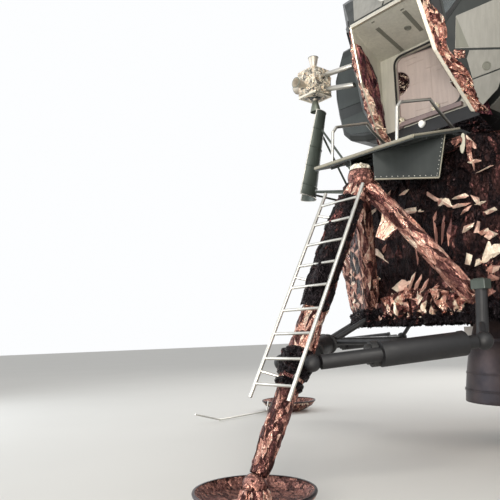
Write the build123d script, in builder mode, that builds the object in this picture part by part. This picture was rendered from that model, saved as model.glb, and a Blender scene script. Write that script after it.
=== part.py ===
from build123d import *
from math import atan2, cos, degrees, radians, sin, sqrt
import os

os.makedirs("parts", exist_ok=True)

# Lunar module, millimetres. Origin on the ground under the middle of the stage,
# +Z up, front (hatch and ladder) towards -Y, crew left towards +X.

# Clearances
seat_gap = 0.3
running_gap = 8.0
pin_play = 0.05

# Descent stage
gear_face = 2057.0
gear_face_half = 686.0
stage_bottom = 1575.0
stage_height = 1651.0
stage_top = stage_bottom + stage_height
deck_plate = 30.0
heat_shield_plate = 40.0
well_half = 640.0
well_share = 0.645
pocket_radius = 450.0
pocket_share = 0.157
diagonal_face = (gear_face + gear_face_half) / sqrt(2)

# Descent engine
gimbal_rise = 584.0
gimbal_height = stage_bottom + gimbal_rise
gimbal_ring_half = 380.0
gimbal_ring_width = 70.0
gimbal_ring_height = 80.0
gimbal_pin_radius = 30.0
chamber_radius = 190.0
chamber_height = 340.0
throat_drop = 110.0
nozzle_exit_height = 457.0
nozzle_exit_radius = 686.0
nozzle_wall = 16.0
shield_hole_radius = 625.0

# Landing gear: apex of the outrigger, foot, knee and body fittings
apex_out = 2847.0
apex_drop = 407.0
apex_height = stage_top - apex_drop
apex_ball = 125.0
foot_out = 4278.0
foot_height = 215.0
cylinder_radius = 88.0
piston_radius = 66.0
cylinder_share = 0.72
knee_share = 0.66
knee_ball = 70.0
knee_collar = 110.0
upper_tube = 38.0
upper_fitting = 60.0
lower_tube = 62.0
lower_fitting = 82.0
secondary_tube = 105.0
secondary_rod = 60.0
tube_share = 0.62
truss_out = 2430.0
truss_side = 900.0
truss_drop = 340.0
truss_height = stage_bottom - truss_drop
truss_tube = 30.0
truss_ball = 80.0
pad_radius = 470.0
pad_height = 180.0
pad_sole_radius = 210.0
pad_wall = 26.0
socket_radius = 95.0
probe_radius = 13.0

# Ladder and porch
rung_count = 9
rung_spacing = 228.6
first_rung = 398.0
ladder_width = 465.5
ladder_offset = 153.0
rail_radius = 16.0
rung_radius = 13.0
bracket_radius = 11.0
porch_half_width = 620.0
porch_plate = 35.0
porch_front = 2835.0
porch_break = 2050.0
porch_rear = 1640.0
porch_front_drop = 154.0
porch_rear_rise = 74.0
porch_front_height = stage_top - porch_front_drop
porch_rear_height = stage_top + porch_rear_rise
porch_beam = 50.0
skirt_offset = 100.0
skirt_wall = 15.0
skirt_drop = 44.0
rail_side = 410.0
handrail_radius = 16.0

# Cabin
cabin_radius = 1168.0
cabin_rise = 1473.0
cabin_height = stage_top + cabin_rise
cabin_rear = 686.0
cabin_wall = 45.0
hatch_plane = 1600.0
beak_side = 430.0
beak_out = 2340.0
beak_height = cabin_height + 51
cheek_side = 620.0
face_rake = 1.25
face_fall = 0.22
face_height = beak_height - 70
bend_height = beak_height - 602
cheek_fall = 0.5
brow_height = beak_height + 450
brow_slope = 0.4
crown_slope = 1.15
recess_top = beak_height - 130
recess_foot = cabin_height - 1499
bulkhead_plate = 40.0
bulkhead_half = 600.0
bulkhead_bottom = cabin_height - 699
bulkhead_top = cabin_height + 781
floor_top = cabin_height - 954
floor_plate = 40.0
# Front window: corners across and up from the cabin's axis
front_window = [(590, -249), (590, 131), (975, 421)]
# Docking window: place across and along, width and length
docking_window = (500.0, -1080.0, 140.0, 310.0)
panel_bottom = cabin_height - 99
panel_tall = 560.0
panel_half = 440.0
panel_depth = 90.0
console_height = cabin_height - 279
console_width = 380.0
console_length = 560.0
console_front = 1330.0
roof_glass_height = 1000.0
brow_lamp_height = beak_height + 210

# Hatches
hatch_width = 812.0
hatch_height = 800.0
hatch_bottom = floor_top + 25
hatch_corner = 95.0
hatch_ajar = 10.0
pocket_up = 480.0
pocket_size = 150.0
pocket_sink = 20.0
hinge_back = 22.0
hinge_radius = 10.0
hinge_length = 70.0
hinge_outer = 34.0
tunnel_radius = 406.0
tunnel_wall = 51.0
tunnel_length = 405.0
overhead_thickness = 40.0
overhead_lap = 26.0
overhead_hinge_out = 455.0
overhead_hinge_drop = 20.0

# Midsection, tank bays and aft bay
mid_half = 1050.0
mid_bottom = cabin_height - 1349
mid_top = cabin_height + 1081
mid_cavity_half = 650.0
mid_cavity_bottom = cabin_height - 749
mid_cavity_top = cabin_height + 901
mid_rear = 686.0
mid_skin = 36.0
mid_foot = 570.0
engine_hole_depth = 350.0
bay_left_reach = 2340.0
bay_right_reach = 1950.0
bay_front = 1000.0
bay_rear = 640.0
bay_chamfer = 60.0
# Outline of a tank bay: share of its reach from the midsection, height from the cabin's axis
bay_outline = [(0.0, -760), (0.43, -720), (0.75, -634), (0.88, -519), (0.95, -234), (1.0, 61), (1.0, 336),
               (0.8, 740), (0.4, 750), (0.0, 521)]
# Outline of the aft bay: place aft of the midsection's back, height from the cabin's axis
aft_outline = [(0, -1299), (874, -1269), (1064, -1059), (1064, 281), (814, 601), (0, 861)]
aft_half = 1220.0
aft_reach = mid_rear + aft_outline[2][0]

# Thruster clusters and plume deflectors
quad_place = 1679.0
quad_half = 150.0
quad_height = 185.0
thruster_exit = 70.0
thruster_length = 205.0
thruster_wall = 7.0
boom_radius = 34.0
boom_root = 1420.0
deflector_top_radius = 125.0
deflector_foot_radius = 205.0
deflector_wall = 12.0
deflector_top_out = 2360.0
deflector_top = cabin_height - 399
deflector_foot_out = 2625.0
deflector_foot = cabin_height - 1559
deflector_tube = 14.0

# Antennas
radar_out = 1250.0
radar_axis_height = cabin_height + 1601
radar_dish_rise = 380.0
radar_dish_radius = 305.0
radar_dish_front = 75.0
dish_depth_share = 0.27
dish_wall = 12.0
steer_side = 1420.0
steer_out = 430.0
steer_axis_height = cabin_height + 1741
steer_dish_radius = 330.0
steer_arm_side = 365.0
steer_fork_drop = 400.0

# Equipment pallet on the front left face, and landing radar
pallet_half = 540.0
pallet_depth = 320.0
pallet_rise = 120.0
pallet_bottom = stage_bottom + pallet_rise
pallet_tall = 0.72 * stage_height
pallet_lug = 34.0
pallet_pin = 18.0
recess_side_gap = 10.0
recess_depth = 335.0
recess_bottom = pallet_bottom - 13
recess_ceiling = pallet_bottom + sqrt(pallet_tall ** 2 + pallet_depth ** 2) + 18
lr_side = -950.0
lr_aft = 1050.0
lr_half_x = 250.0
lr_half_y = 300.0
lr_thickness = 140.0
lr_drop = 270.0
lr_axis_height = stage_bottom - lr_drop
lr_pin_radius = 16.0
lr_bracket_plate = 30.0
lr_bracket_side = lr_half_x + running_gap + lr_bracket_plate / 2
lr_bracket_height = lr_drop - heat_shield_plate + 55

# Octagonal plan that the deck and the heat shield share
octagon = [(gear_face, -gear_face_half), (gear_face, gear_face_half), (gear_face_half, gear_face),
           (-gear_face_half, gear_face), (-gear_face, gear_face_half), (-gear_face, -gear_face_half),
           (-gear_face_half, -gear_face), (gear_face_half, -gear_face)]

# Legs: name and azimuth in degrees; only the front leg has no contact probe
legs = [("front", -90.0), ("left", 0.0), ("aft", 90.0), ("right", 180.0)]
# Thruster clusters: name, side sign, fore and aft sign
clusters = [("front_left", 1, -1), ("front_right", -1, -1), ("rear_left", 1, 1), ("rear_right", -1, 1)]


def leg_point(azimuth, out, side, up):
    """Point out along an azimuth, side across it to the left, and up."""
    a = radians(azimuth)
    return Vector(out * cos(a) - side * sin(a), out * sin(a) + side * cos(a), up)


def rod(start, end, radius, start_gap=0.0, end_gap=0.0, mode=Mode.ADD):
    """Straight round rod between two points, held back by a gap at each end."""
    run = end - start
    way = run.normalized()
    with Locations(Plane(origin=start + way * start_gap, z_dir=way).location):
        Cylinder(radius, run.length - start_gap - end_gap, mode=mode,
                 align=(Align.CENTER, Align.CENTER, Align.MIN))


def dish(back, radius):
    """Hollow dish that opens along a plane's normal, its back standing on the plane."""
    depth = dish_depth_share * radius
    ball_radius = (radius * radius + depth * depth) / (2 * depth)
    with Locations(back.location):
        Cylinder(radius, depth + dish_wall, align=(Align.CENTER, Align.CENTER, Align.MIN))
    centre = back.origin + back.z_dir * (ball_radius + dish_wall)
    with Locations(Location(centre)):
        Sphere(ball_radius, mode=Mode.SUBTRACT)


def trim_cabin():
    """Cut the part back to a gap off the cabin's round skin."""
    with Locations(Location((0, 0, cabin_height), (90, 0, 0))):
        Cylinder(cabin_radius + seat_gap, 3 * beak_out, mode=Mode.SUBTRACT)


def bent_rod(points, radius):
    """Rod along a chain of points, each length run on a little past its bend."""
    for start, end in zip(points, points[1:]):
        rod(start, end + (end - start).normalized() * 0.4 * radius, radius)


def trim_stage():
    """Cut the part back to a gap off the descent stage."""
    add(stage_envelope.part, mode=Mode.SUBTRACT)


def ball(centre, radius):
    """Ball fitting at a point."""
    with Locations(Location(centre)):
        Sphere(radius)


def cut_half(point, normal):
    """Cut away what lies beyond a plane on the side that its normal points to."""
    split(bisect_by=Plane(origin=point, z_dir=normal), keep=Keep.BOTTOM)


def finish(builder, name):
    """Label a finished sub-part and write its STEP file."""
    builder.part.label = name
    export_step(builder.part, f"parts/{name}.step")


# Space that the descent stage takes, grown by the gap to what seats on it
with BuildPart() as stage_envelope:
    with BuildSketch(Plane.XY.offset(stage_bottom - heat_shield_plate - seat_gap)):
        with BuildLine():
            Polyline(*octagon, close=True)
        make_face()
        offset(amount=seat_gap, kind=Kind.INTERSECTION)
    extrude(amount=stage_top - stage_bottom + heat_shield_plate + 2 * seat_gap)

# Descent stage: cross-shaped core with the engine well and the pocket of the ascent engine
core_top = stage_top - deck_plate
with BuildPart() as core:
    with BuildSketch(Plane.XY.offset(stage_bottom)):
        Rectangle(2 * gear_face, 2 * gear_face_half)
        Rectangle(2 * gear_face_half, 2 * gear_face)
    extrude(amount=core_top - stage_bottom)
    with BuildSketch(Plane.XY.offset(stage_bottom)):
        Rectangle(2 * well_half, 2 * well_half)
    extrude(amount=well_share * stage_height, mode=Mode.SUBTRACT)
    with BuildSketch(Plane.XY.offset(core_top)):
        Circle(pocket_radius)
    extrude(amount=-pocket_share * stage_height, mode=Mode.SUBTRACT)
finish(core, "descent_core")

# Four corner bays; the front left one has the recess of the equipment pallet
pallet_face = Plane(origin=leg_point(-45, diagonal_face, 0, 0), x_dir=leg_point(-45, 0, 1, 0),
                    z_dir=leg_point(-45, 1, 0, 0))
pallet_hinge = Plane(origin=leg_point(-45, diagonal_face, 0, pallet_bottom), z_dir=leg_point(-45, 0, 1, 0))
for name, sx, sy in clusters:
    with BuildPart() as bay:
        with BuildSketch(Plane.XY.offset(stage_bottom)):
            with BuildLine():
                Polyline((sx * gear_face_half, sy * gear_face_half), (sx * gear_face, sy * gear_face_half),
                         (sx * gear_face_half, sy * gear_face), close=True)
            make_face()
        extrude(amount=core_top - stage_bottom)
        if name == "front_left":
            with BuildSketch(pallet_face):
                with Locations((0, (recess_bottom + recess_ceiling) / 2)):
                    Rectangle(2 * (pallet_half + recess_side_gap), recess_ceiling - recess_bottom)
            extrude(amount=-recess_depth, mode=Mode.SUBTRACT)
            with BuildSketch(pallet_face):
                for side in (-1, 1):
                    with Locations((side * (pallet_half + recess_side_gap + pallet_lug / 2), pallet_bottom)):
                        Rectangle(pallet_lug, 80)
            extrude(amount=38)
            with Locations(pallet_hinge.location):
                Cylinder(pallet_pin + pin_play, 2 * (pallet_half + pallet_lug), mode=Mode.SUBTRACT)
    finish(bay, f"descent_bay_{name}")

with BuildPart() as deck:
    with BuildSketch(Plane.XY.offset(core_top)):
        with BuildLine():
            Polyline(*octagon, close=True)
        make_face()
        Circle(pocket_radius, mode=Mode.SUBTRACT)
    extrude(amount=deck_plate)
finish(deck, "descent_deck")

# Base heat shield: panels that meet on lines from the middle to the corners, and the radar's brackets
corner_angle = degrees(atan2(gear_face_half, gear_face))
with BuildPart() as shield:
    with BuildSketch(Plane.XY.offset(stage_bottom)):
        with BuildLine():
            Polyline(*octagon, close=True)
        make_face()
        Circle(shield_hole_radius, mode=Mode.SUBTRACT)
        for angle in (corner_angle, 90 - corner_angle, 90 + corner_angle, 180 - corner_angle):
            Rectangle(3 * gear_face, 2 * seat_gap, rotation=angle, mode=Mode.SUBTRACT)
    extrude(amount=-heat_shield_plate)
    for side in (-1, 1):
        with Locations(Location((lr_side + side * lr_bracket_side, lr_aft,
                                 stage_bottom - heat_shield_plate - seat_gap))):
            Box(lr_bracket_plate, 110, lr_bracket_height, align=(Align.CENTER, Align.CENTER, Align.MAX))
    with Locations(Location((lr_side, lr_aft, lr_axis_height), (0, 90, 0))):
        Cylinder(lr_pin_radius + pin_play, 3 * lr_half_x, mode=Mode.SUBTRACT)
finish(shield, "base_heat_shield")

# Gimbal ring: pins along X in the well's walls, then the engine's pins along Y in the ring
gimbal_centre = Vector(0, 0, gimbal_height)
with BuildPart() as ring:
    with BuildSketch(Plane.XY.offset(gimbal_height - gimbal_ring_height / 2)):
        Rectangle(2 * gimbal_ring_half, 2 * gimbal_ring_half)
        Rectangle(2 * (gimbal_ring_half - gimbal_ring_width), 2 * (gimbal_ring_half - gimbal_ring_width),
                  mode=Mode.SUBTRACT)
    extrude(amount=gimbal_ring_height)
    for sx in (-1, 1):
        rod(gimbal_centre + Vector(sx * (gimbal_ring_half - 20), 0, 0),
            gimbal_centre + Vector(sx * well_half, 0, 0), gimbal_pin_radius, 0, seat_gap)
finish(ring, "gimbal_ring")

# Descent engine: chamber as a plain block, hollow bell nozzle by share of its radius and of its length
throat_height = gimbal_height - throat_drop
bell_rows = [(0.175, 0.0), (0.437, 0.125), (0.659, 0.298), (0.838, 0.533), (0.948, 0.785), (1.0, 1.0)]
bell = [(wide * nozzle_exit_radius, throat_height - down * (throat_height - nozzle_exit_height))
        for wide, down in bell_rows]
with BuildPart() as engine:
    with BuildSketch(Plane.XZ):
        with BuildLine():
            outer = Spline(*bell)
            inner = Spline(*[(r - nozzle_wall, z) for r, z in bell])
            Line(outer @ 0, inner @ 0)
            Line(outer @ 1, inner @ 1)
        make_face()
    revolve(axis=Axis.Z)
    with BuildSketch(Plane.XY.offset(throat_height)):
        Circle(chamber_radius)
    extrude(amount=chamber_height + throat_drop)
    for sy in (-1, 1):
        rod(gimbal_centre + Vector(0, sy * (chamber_radius - 20), 0),
            gimbal_centre + Vector(0, sy * (gimbal_ring_half - gimbal_ring_width), 0),
            gimbal_pin_radius, 0, seat_gap)
finish(engine, "descent_engine")

# Landing gear, the same on four sides
foot_run = Vector(foot_out - apex_out, 0, foot_height - apex_height)
foot_way = foot_run.normalized()
foot_length = foot_run.length


def on_strut(azimuth, along, offset=0.0, side=0.0):
    """Point along a primary strut from its apex, offset outwards and to the side."""
    out = apex_out + foot_way.X * along - foot_way.Z * offset
    up = apex_height + foot_way.Z * along + foot_way.X * offset
    return leg_point(azimuth, out, side, up)


# Tubes of an outrigger: height of the fitting on the stage, tube radius, fitting radius
outrigger_rows = [(stage_top - upper_fitting, upper_tube, upper_fitting),
                  (stage_bottom + lower_fitting, lower_tube, lower_fitting)]

for leg, azimuth in legs:
    apex = leg_point(azimuth, apex_out, 0, apex_height)
    with BuildPart() as outrigger:
        for side in (-1, 1):
            for height, tube, fitting in outrigger_rows:
                end = leg_point(azimuth, gear_face, side * (gear_face_half - fitting), height)
                way = (end - apex).normalized()
                rod(apex, end + way * 60, tube, apex_ball + seat_gap)
                rod(end - way * 120, end + way * 60, fitting)
        trim_stage()
        ball(apex, apex_ball)
    finish(outrigger, f"gear_outrigger_{leg}")

    with BuildPart() as primary:
        cylinder_end = on_strut(azimuth, foot_length * cylinder_share)
        rod(on_strut(azimuth, apex_ball + seat_gap), cylinder_end, cylinder_radius)
        rod(cylinder_end, on_strut(azimuth, foot_length), piston_radius, 0, socket_radius + seat_gap)
        knee_place = foot_length * knee_share
        rod(on_strut(azimuth, knee_place - 60), on_strut(azimuth, knee_place + 60), knee_collar)
    finish(primary, f"gear_primary_strut_{leg}")

    with BuildPart() as pad:
        with BuildSketch(Plane.XZ):
            with BuildLine():
                Polyline((0, 0), (pad_sole_radius, 0), (pad_radius - 60, 95), (pad_radius, pad_height),
                         (pad_radius - 16, pad_height + 6), (pad_radius - 84, 95 + pad_wall),
                         (socket_radius + 40, 60), (socket_radius + 25, foot_height - 62),
                         (socket_radius, foot_height - 50), (0, foot_height - 50), close=True)
            make_face()
        revolve(axis=Axis.Z)
        ball(Vector(0, 0, foot_height), socket_radius)
    footpad = Pos(*leg_point(azimuth, foot_out, 0, 0)) * pad.part
    footpad.label = f"gear_footpad_{leg}"
    export_step(footpad, f"parts/gear_footpad_{leg}.step")

# Secondary struts from the knee of each leg to the ends of its truss
knee_side = knee_collar + knee_ball + seat_gap
with BuildPart() as secondary:
    for leg, azimuth in legs:
        for side in (-1, 1):
            knee = on_strut(azimuth, foot_length * knee_share, 0, side * knee_side)
            body = leg_point(azimuth, truss_out, side * truss_side, truss_height)
            run = knee - body
            rod(body, knee, secondary_rod, truss_ball + seat_gap, knee_ball + seat_gap)
            rod(body, body + run * tube_share, secondary_tube, 2.4 * truss_ball)
            ball(knee, knee_ball)
finish(secondary, "gear_secondary_struts")

# Deployment trusses: an arm from the stage's lower corner to each strut end, and a cross tube
with BuildPart() as truss:
    for leg, azimuth in legs:
        ends = [leg_point(azimuth, truss_out, side * truss_side, truss_height) for side in (-1, 1)]
        for side, end in zip((-1, 1), ends):
            root = leg_point(azimuth, gear_face - 150, side * (gear_face_half - 100), stage_bottom)
            rod(end, root, truss_tube, truss_ball + seat_gap)
        rod(ends[0], ends[1], truss_tube, truss_ball + seat_gap, truss_ball + seat_gap)
    trim_stage()
    for leg, azimuth in legs:
        for side in (-1, 1):
            ball(leg_point(azimuth, truss_out, side * truss_side, truss_height), truss_ball)
finish(truss, "gear_trusses")

# Contact probes, bent where the pads came down on them, on all legs but the front one
probe_route = [(pad_radius + 5.7, pad_height + 30), (pad_radius + 52.4, probe_radius + 30),
               (pad_radius + 1120, 2 * probe_radius), (pad_radius + 1620, probe_radius + 150)]
probe_points = [Vector(foot_out - 0.1 * (side - pad_radius), side, up) for side, up in probe_route]
with BuildPart() as probe:
    for start, end in zip(probe_points, probe_points[1:]):
        rod(start, end, probe_radius)
    for point in probe_points[1:-1]:
        ball(point, 1.3 * probe_radius)
probes = Compound(children=[Rot(0, 0, azimuth) * probe.part for leg, azimuth in legs[1:]])
probes.label = "contact_probes"
export_step(probes, "parts/contact_probes.step")

# Ladder on the front strut: rails with their brackets, and the rungs between the rails
front = legs[0][1]
rail_side_place = ladder_width / 2
ladder_end = first_rung + (rung_count - 1) * rung_spacing
with BuildPart() as ladder:
    for side in (-1, 1):
        rod(on_strut(front, first_rung - 150, ladder_offset, side * rail_side_place),
            on_strut(front, ladder_end + 120, ladder_offset, side * rail_side_place), rail_radius)
        for rung_gap in (0, 3, rung_count - 2):
            along = first_rung + (rung_gap + 0.5) * rung_spacing
            rod(on_strut(front, along, ladder_offset, side * rail_side_place), on_strut(front, along),
                bracket_radius)
    rod(on_strut(front, 0), on_strut(front, foot_length), cylinder_radius + seat_gap, mode=Mode.SUBTRACT)
    for step in range(rung_count):
        along = first_rung + step * rung_spacing
        rod(on_strut(front, along, ladder_offset, -rail_side_place),
            on_strut(front, along, ladder_offset, rail_side_place),
            rung_radius, rail_radius + seat_gap, rail_radius + seat_gap)
finish(ladder, "ladder")

# Porch: plate that slopes up from the ladder's top and then runs level to the hatch
porch_line = [(-porch_front, porch_front_height), (-porch_break, porch_rear_height),
              (-porch_rear, porch_rear_height)]
skirt_way = Vector(gear_face_half - upper_fitting, apex_out - gear_face, 0).normalized()
porch_slope = (porch_rear_height - porch_front_height) / (porch_front - porch_break)
# Skirt under each side of the porch: along the outrigger from its apex, and height
skirt_outline = [(110, apex_height - skirt_drop), (730, apex_height - skirt_drop)]
for skirt_along in (820, 110):
    skirt_out = apex_out + skirt_offset * skirt_way.X - skirt_along * skirt_way.Y
    skirt_outline.append((skirt_along, porch_front_height + (porch_front - skirt_out) * porch_slope
                          - 0.5 * porch_plate))


def skirt_plane(side):
    """Upright plane beside an upper outrigger tube: along it, and up."""
    way = Vector(side * skirt_way.X, skirt_way.Y, 0)
    out = Vector(side * skirt_way.Y, -skirt_way.X, 0)
    return Plane(origin=Vector(0, -apex_out, 0) + out * skirt_offset, x_dir=way, z_dir=out * side)


with BuildPart() as porch:
    with BuildSketch(Plane.YZ):
        with BuildLine():
            Polyline(*porch_line, (-porch_rear, porch_rear_height - porch_plate),
                     (-porch_break, porch_rear_height - porch_plate),
                     (-porch_front, porch_front_height - porch_plate), close=True)
        make_face()
    extrude(amount=porch_half_width, both=True)
    for side in (-1, 0, 1):
        with BuildSketch(Plane.YZ.offset(side * (porch_half_width - porch_beam))):
            with BuildLine():
                Polyline((-porch_rear, porch_rear_height - porch_plate), (-porch_rear, stage_top + seat_gap),
                         (-gear_face, stage_top + seat_gap), (-porch_break - 200, porch_rear_height - 80),
                         (-porch_break, porch_rear_height - porch_plate), close=True)
            make_face()
        extrude(amount=porch_beam / 2, both=True)
    for side in (-1, 1):
        with BuildSketch(skirt_plane(side)):
            with BuildLine():
                Polyline(*skirt_outline, close=True)
            make_face()
        extrude(amount=-side * skirt_wall)
finish(porch, "porch")

# Handrails: post, bend, long top rail and the end that turns down
handrail_route = [(-porch_front + 40, porch_front_height - 40), (-porch_front + 75, porch_rear_height + 120),
                  (-porch_front + 135, porch_rear_height + 190), (-porch_front + 635, porch_rear_height + 340),
                  (-porch_front + 735, porch_rear_height + 270), (-porch_front + 1035, porch_rear_height + 110)]
with BuildPart() as handrails:
    for side in (-1, 1):
        points = [Vector(side * rail_side, y, z) for y, z in handrail_route]
        bent_rod(points, handrail_radius)
    with BuildSketch(Plane.YZ):
        with BuildLine():
            Polyline(*[(y, z + seat_gap) for y, z in porch_line], (-porch_rear, porch_front_height - 200),
                     (-porch_front - 200, porch_front_height - 200),
                     (-porch_front - 200, porch_front_height + seat_gap), close=True)
        make_face()
    extrude(amount=porch_half_width, both=True, mode=Mode.SUBTRACT)
finish(handrails, "porch_handrails")

# Front face planes: each is a point on the skin and its outward normal


def face_plane(side, inset=0.0):
    """Slanted window face on one side of the hatch."""
    normal = Vector(side * face_rake, -1, -face_fall).normalized()
    return Vector(side * beak_side, -beak_out, face_height) - normal * inset, normal


def cheek_plane(side, inset=0.0):
    """Lower face on one side, which falls back more below the bend."""
    normal = Vector(side * face_rake, -1, -cheek_fall).normalized()
    out = beak_out - face_fall * (face_height - bend_height)
    return Vector(side * beak_side, -out, bend_height) - normal * inset, normal


def brow_plane(inset=0.0):
    """Panel above the recess, nearly upright."""
    normal = Vector(0, -1, brow_slope).normalized()
    return Vector(0, -beak_out, beak_height + 10) - normal * inset, normal


def crown_plane(inset=0.0):
    """Panel above the brow that runs back to the cabin's top."""
    normal = Vector(0, -1, crown_slope).normalized()
    edge = -beak_out + brow_slope * (brow_height - beak_height)
    return Vector(0, edge, brow_height) - normal * inset, normal


def add_recess(grow, mode):
    """Put the wedge in front of the hatch into the part under construction."""
    spread = (cheek_side - beak_side) / (beak_out - hatch_plane)
    rise = (beak_height - recess_top) / (beak_out - hatch_plane)
    deep = beak_out + 400
    half_back = cheek_side + grow + spread * grow
    half_front = half_back - spread * (deep - hatch_plane + grow)
    bottom = recess_foot
    top_back = recess_top + grow - rise * grow
    top_front = top_back + rise * (deep - hatch_plane + grow)
    back = -hatch_plane + grow
    corners = [
        (-half_back, back, bottom), (half_back, back, bottom), (half_front, -deep, bottom),
        (-half_front, -deep, bottom), (-half_back, back, top_back), (half_back, back, top_back),
        (half_front, -deep, top_front), (-half_front, -deep, top_front)]
    walls = [(0, 1, 2, 3), (4, 5, 6, 7), (0, 1, 5, 4), (1, 2, 6, 5), (2, 3, 7, 6), (3, 0, 4, 7)]
    faces = [Face(Wire.make_polygon([corners[i] for i in wall], close=True)) for wall in walls]
    add(Solid(Shell(faces)), mode=mode)


def trim_faces(inset):
    """Cut the part back to the window faces and the lower faces, drawn in by an inset."""
    for side in (-1, 1):
        cut_half(*face_plane(side, inset))
        cut_half(*cheek_plane(side, inset))


def cabin_block(inset=0.0):
    """Cabin cylinder cut by its front planes, drawn in by an inset."""
    with Locations(Location((0, -cabin_rear, cabin_height), (90, 0, 0))):
        Cylinder(cabin_radius - inset, 2 * beak_out, align=(Align.CENTER, Align.CENTER, Align.MIN))
    trim_faces(inset)
    cut_half(*brow_plane(inset))
    cut_half(*crown_plane(inset))


# Window faces, bent below the window: what lies between the skin and the faces drawn in by the wall
window_seat = 24.0
window_glass = 12.0
window_outlines = []
for name, side in (("left", 1), ("right", -1)):
    origin, normal = face_plane(side)
    face = Plane(origin=origin, x_dir=Vector(1, side * face_rake, 0), z_dir=normal)
    corners = []
    for x, rise in front_window:
        z = cabin_height + rise
        y = -beak_out + face_rake * (x - beak_side) + face_fall * (face_height - z)
        corners.append(face.to_local_coords(Vector(side * x, y, z)))
    with BuildPart() as behind:
        cabin_block(-cabin_wall)
        cut_half(*face_plane(side, cabin_wall))
        cut_half(*cheek_plane(side, cabin_wall))
    with BuildPart() as panel:
        cabin_block()
        add_recess(cabin_wall, Mode.SUBTRACT)
        add(behind.part, mode=Mode.SUBTRACT)
        with BuildSketch(face):
            with BuildLine():
                Polyline(*[(c.X, c.Y) for c in corners], close=True)
            make_face()
            fillet(vertices(), 28)
        extrude(amount=-2 * cabin_wall, mode=Mode.SUBTRACT)
    finish(panel, f"front_panel_{name}")
    window_outlines.append((face, corners))

# Brow and crown panels above the recess
with BuildPart() as brow:
    cabin_block()
    add_recess(cabin_wall, Mode.SUBTRACT)
    trim_faces(cabin_wall)
    point, normal = brow_plane(cabin_wall)
    cut_half(point, -normal)
finish(brow, "brow_panel")

with BuildPart() as crown:
    cabin_block()
    trim_faces(cabin_wall)
    cut_half(*brow_plane(cabin_wall))
    point, normal = crown_plane(cabin_wall)
    cut_half(point, -normal)
finish(crown, "crown_panel")

# Hinge of the forward hatch: its line, and the heights of its two knuckles
hatch_hinge = Vector(-hatch_width / 2 + 10, -hatch_plane + cabin_wall + hinge_back, 0)
hinge_heights = (hatch_bottom + 160, hatch_bottom + hatch_height - 160)

# Lining of the recess with the hatchway cut through its back
with BuildPart() as lining:
    add_recess(cabin_wall, Mode.ADD)
    with BuildPart(mode=Mode.INTERSECT):
        cabin_block()
    add_recess(0.0, Mode.SUBTRACT)
    with BuildSketch(Plane.XZ.offset(hatch_plane)):
        with Locations((0, hatch_bottom + hatch_height / 2)):
            RectangleRounded(hatch_width, hatch_height, hatch_corner)
    extrude(amount=-2 * cabin_wall, mode=Mode.SUBTRACT)
    for height in hinge_heights:
        for side in (-1, 1):
            up = height + side * (hinge_length + hinge_outer + 2 * seat_gap) / 2
            with Locations(Location((hatch_hinge.X, hatch_hinge.Y, up))):
                Cylinder(hinge_radius, hinge_outer)
            with Locations(Location((hatch_hinge.X, hatch_hinge.Y - hinge_radius, up))):
                Box(44, 2 * hinge_radius, hinge_outer, align=(Align.MAX, Align.MIN, Align.CENTER))
            with Locations(Location((-hatch_width / 2, -hatch_plane + cabin_wall, up))):
                Box(34, hinge_back, hinge_outer, align=(Align.MAX, Align.MIN, Align.CENTER))
finish(lining, "hatch_recess")

# Cabin shell with the docking window in its top over the crew's left station
with BuildPart() as cabin:
    cabin_block()
    trim_faces(cabin_wall)
    cut_half(*brow_plane(cabin_wall))
    cut_half(*crown_plane(cabin_wall))
    add_recess(cabin_wall, Mode.SUBTRACT)
    with Locations(Location((0, -cabin_rear + 100, cabin_height), (90, 0, 0))):
        Cylinder(cabin_radius - cabin_wall, 2 * beak_out, align=(Align.CENTER, Align.CENTER, Align.MIN),
                 mode=Mode.SUBTRACT)
    with BuildSketch(Plane.XY.offset(cabin_height)):
        with Locations(docking_window[:2]):
            Rectangle(*docking_window[2:])
    extrude(amount=2 * cabin_radius, mode=Mode.SUBTRACT)
finish(cabin, "cabin_shell")

# Window glass: the two front windows and the docking window
with BuildPart() as glass:
    for face, corners in window_outlines:
        with BuildSketch(face.offset(-window_seat)):
            with BuildLine():
                Polyline(*[(c.X, c.Y) for c in corners], close=True)
            make_face()
            fillet(vertices(), 28)
            offset(amount=-seat_gap)
        extrude(amount=-window_glass)
    with BuildSketch(Plane.XY.offset(cabin_height + roof_glass_height)):
        with Locations(docking_window[:2]):
            Rectangle(docking_window[2] - 2 * seat_gap, docking_window[3] - 2 * seat_gap)
    extrude(amount=window_glass)
finish(glass, "cabin_windows")

with BuildPart() as bulkhead:
    with BuildSketch(Plane.XZ.offset(cabin_rear)):
        with Locations((0, cabin_height)):
            Circle(cabin_radius)
        with Locations((0, (bulkhead_bottom + bulkhead_top) / 2)):
            RectangleRounded(2 * bulkhead_half, bulkhead_top - bulkhead_bottom, 120, mode=Mode.SUBTRACT)
    extrude(amount=-bulkhead_plate)
finish(bulkhead, "cabin_rear_bulkhead")

floor_half = sqrt((cabin_radius - cabin_wall) ** 2 - (cabin_height - floor_top + floor_plate) ** 2) - 2 * seat_gap
with BuildPart() as floor:
    with BuildSketch(Plane.XY.offset(floor_top - floor_plate)):
        with Locations((0, -(cabin_rear + hatch_plane - cabin_wall) / 2)):
            Rectangle(2 * floor_half, hatch_plane - cabin_wall - cabin_rear - 2 * seat_gap)
    extrude(amount=floor_plate)
    trim_faces(cabin_wall + seat_gap)
finish(floor, "cabin_floor")

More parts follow.
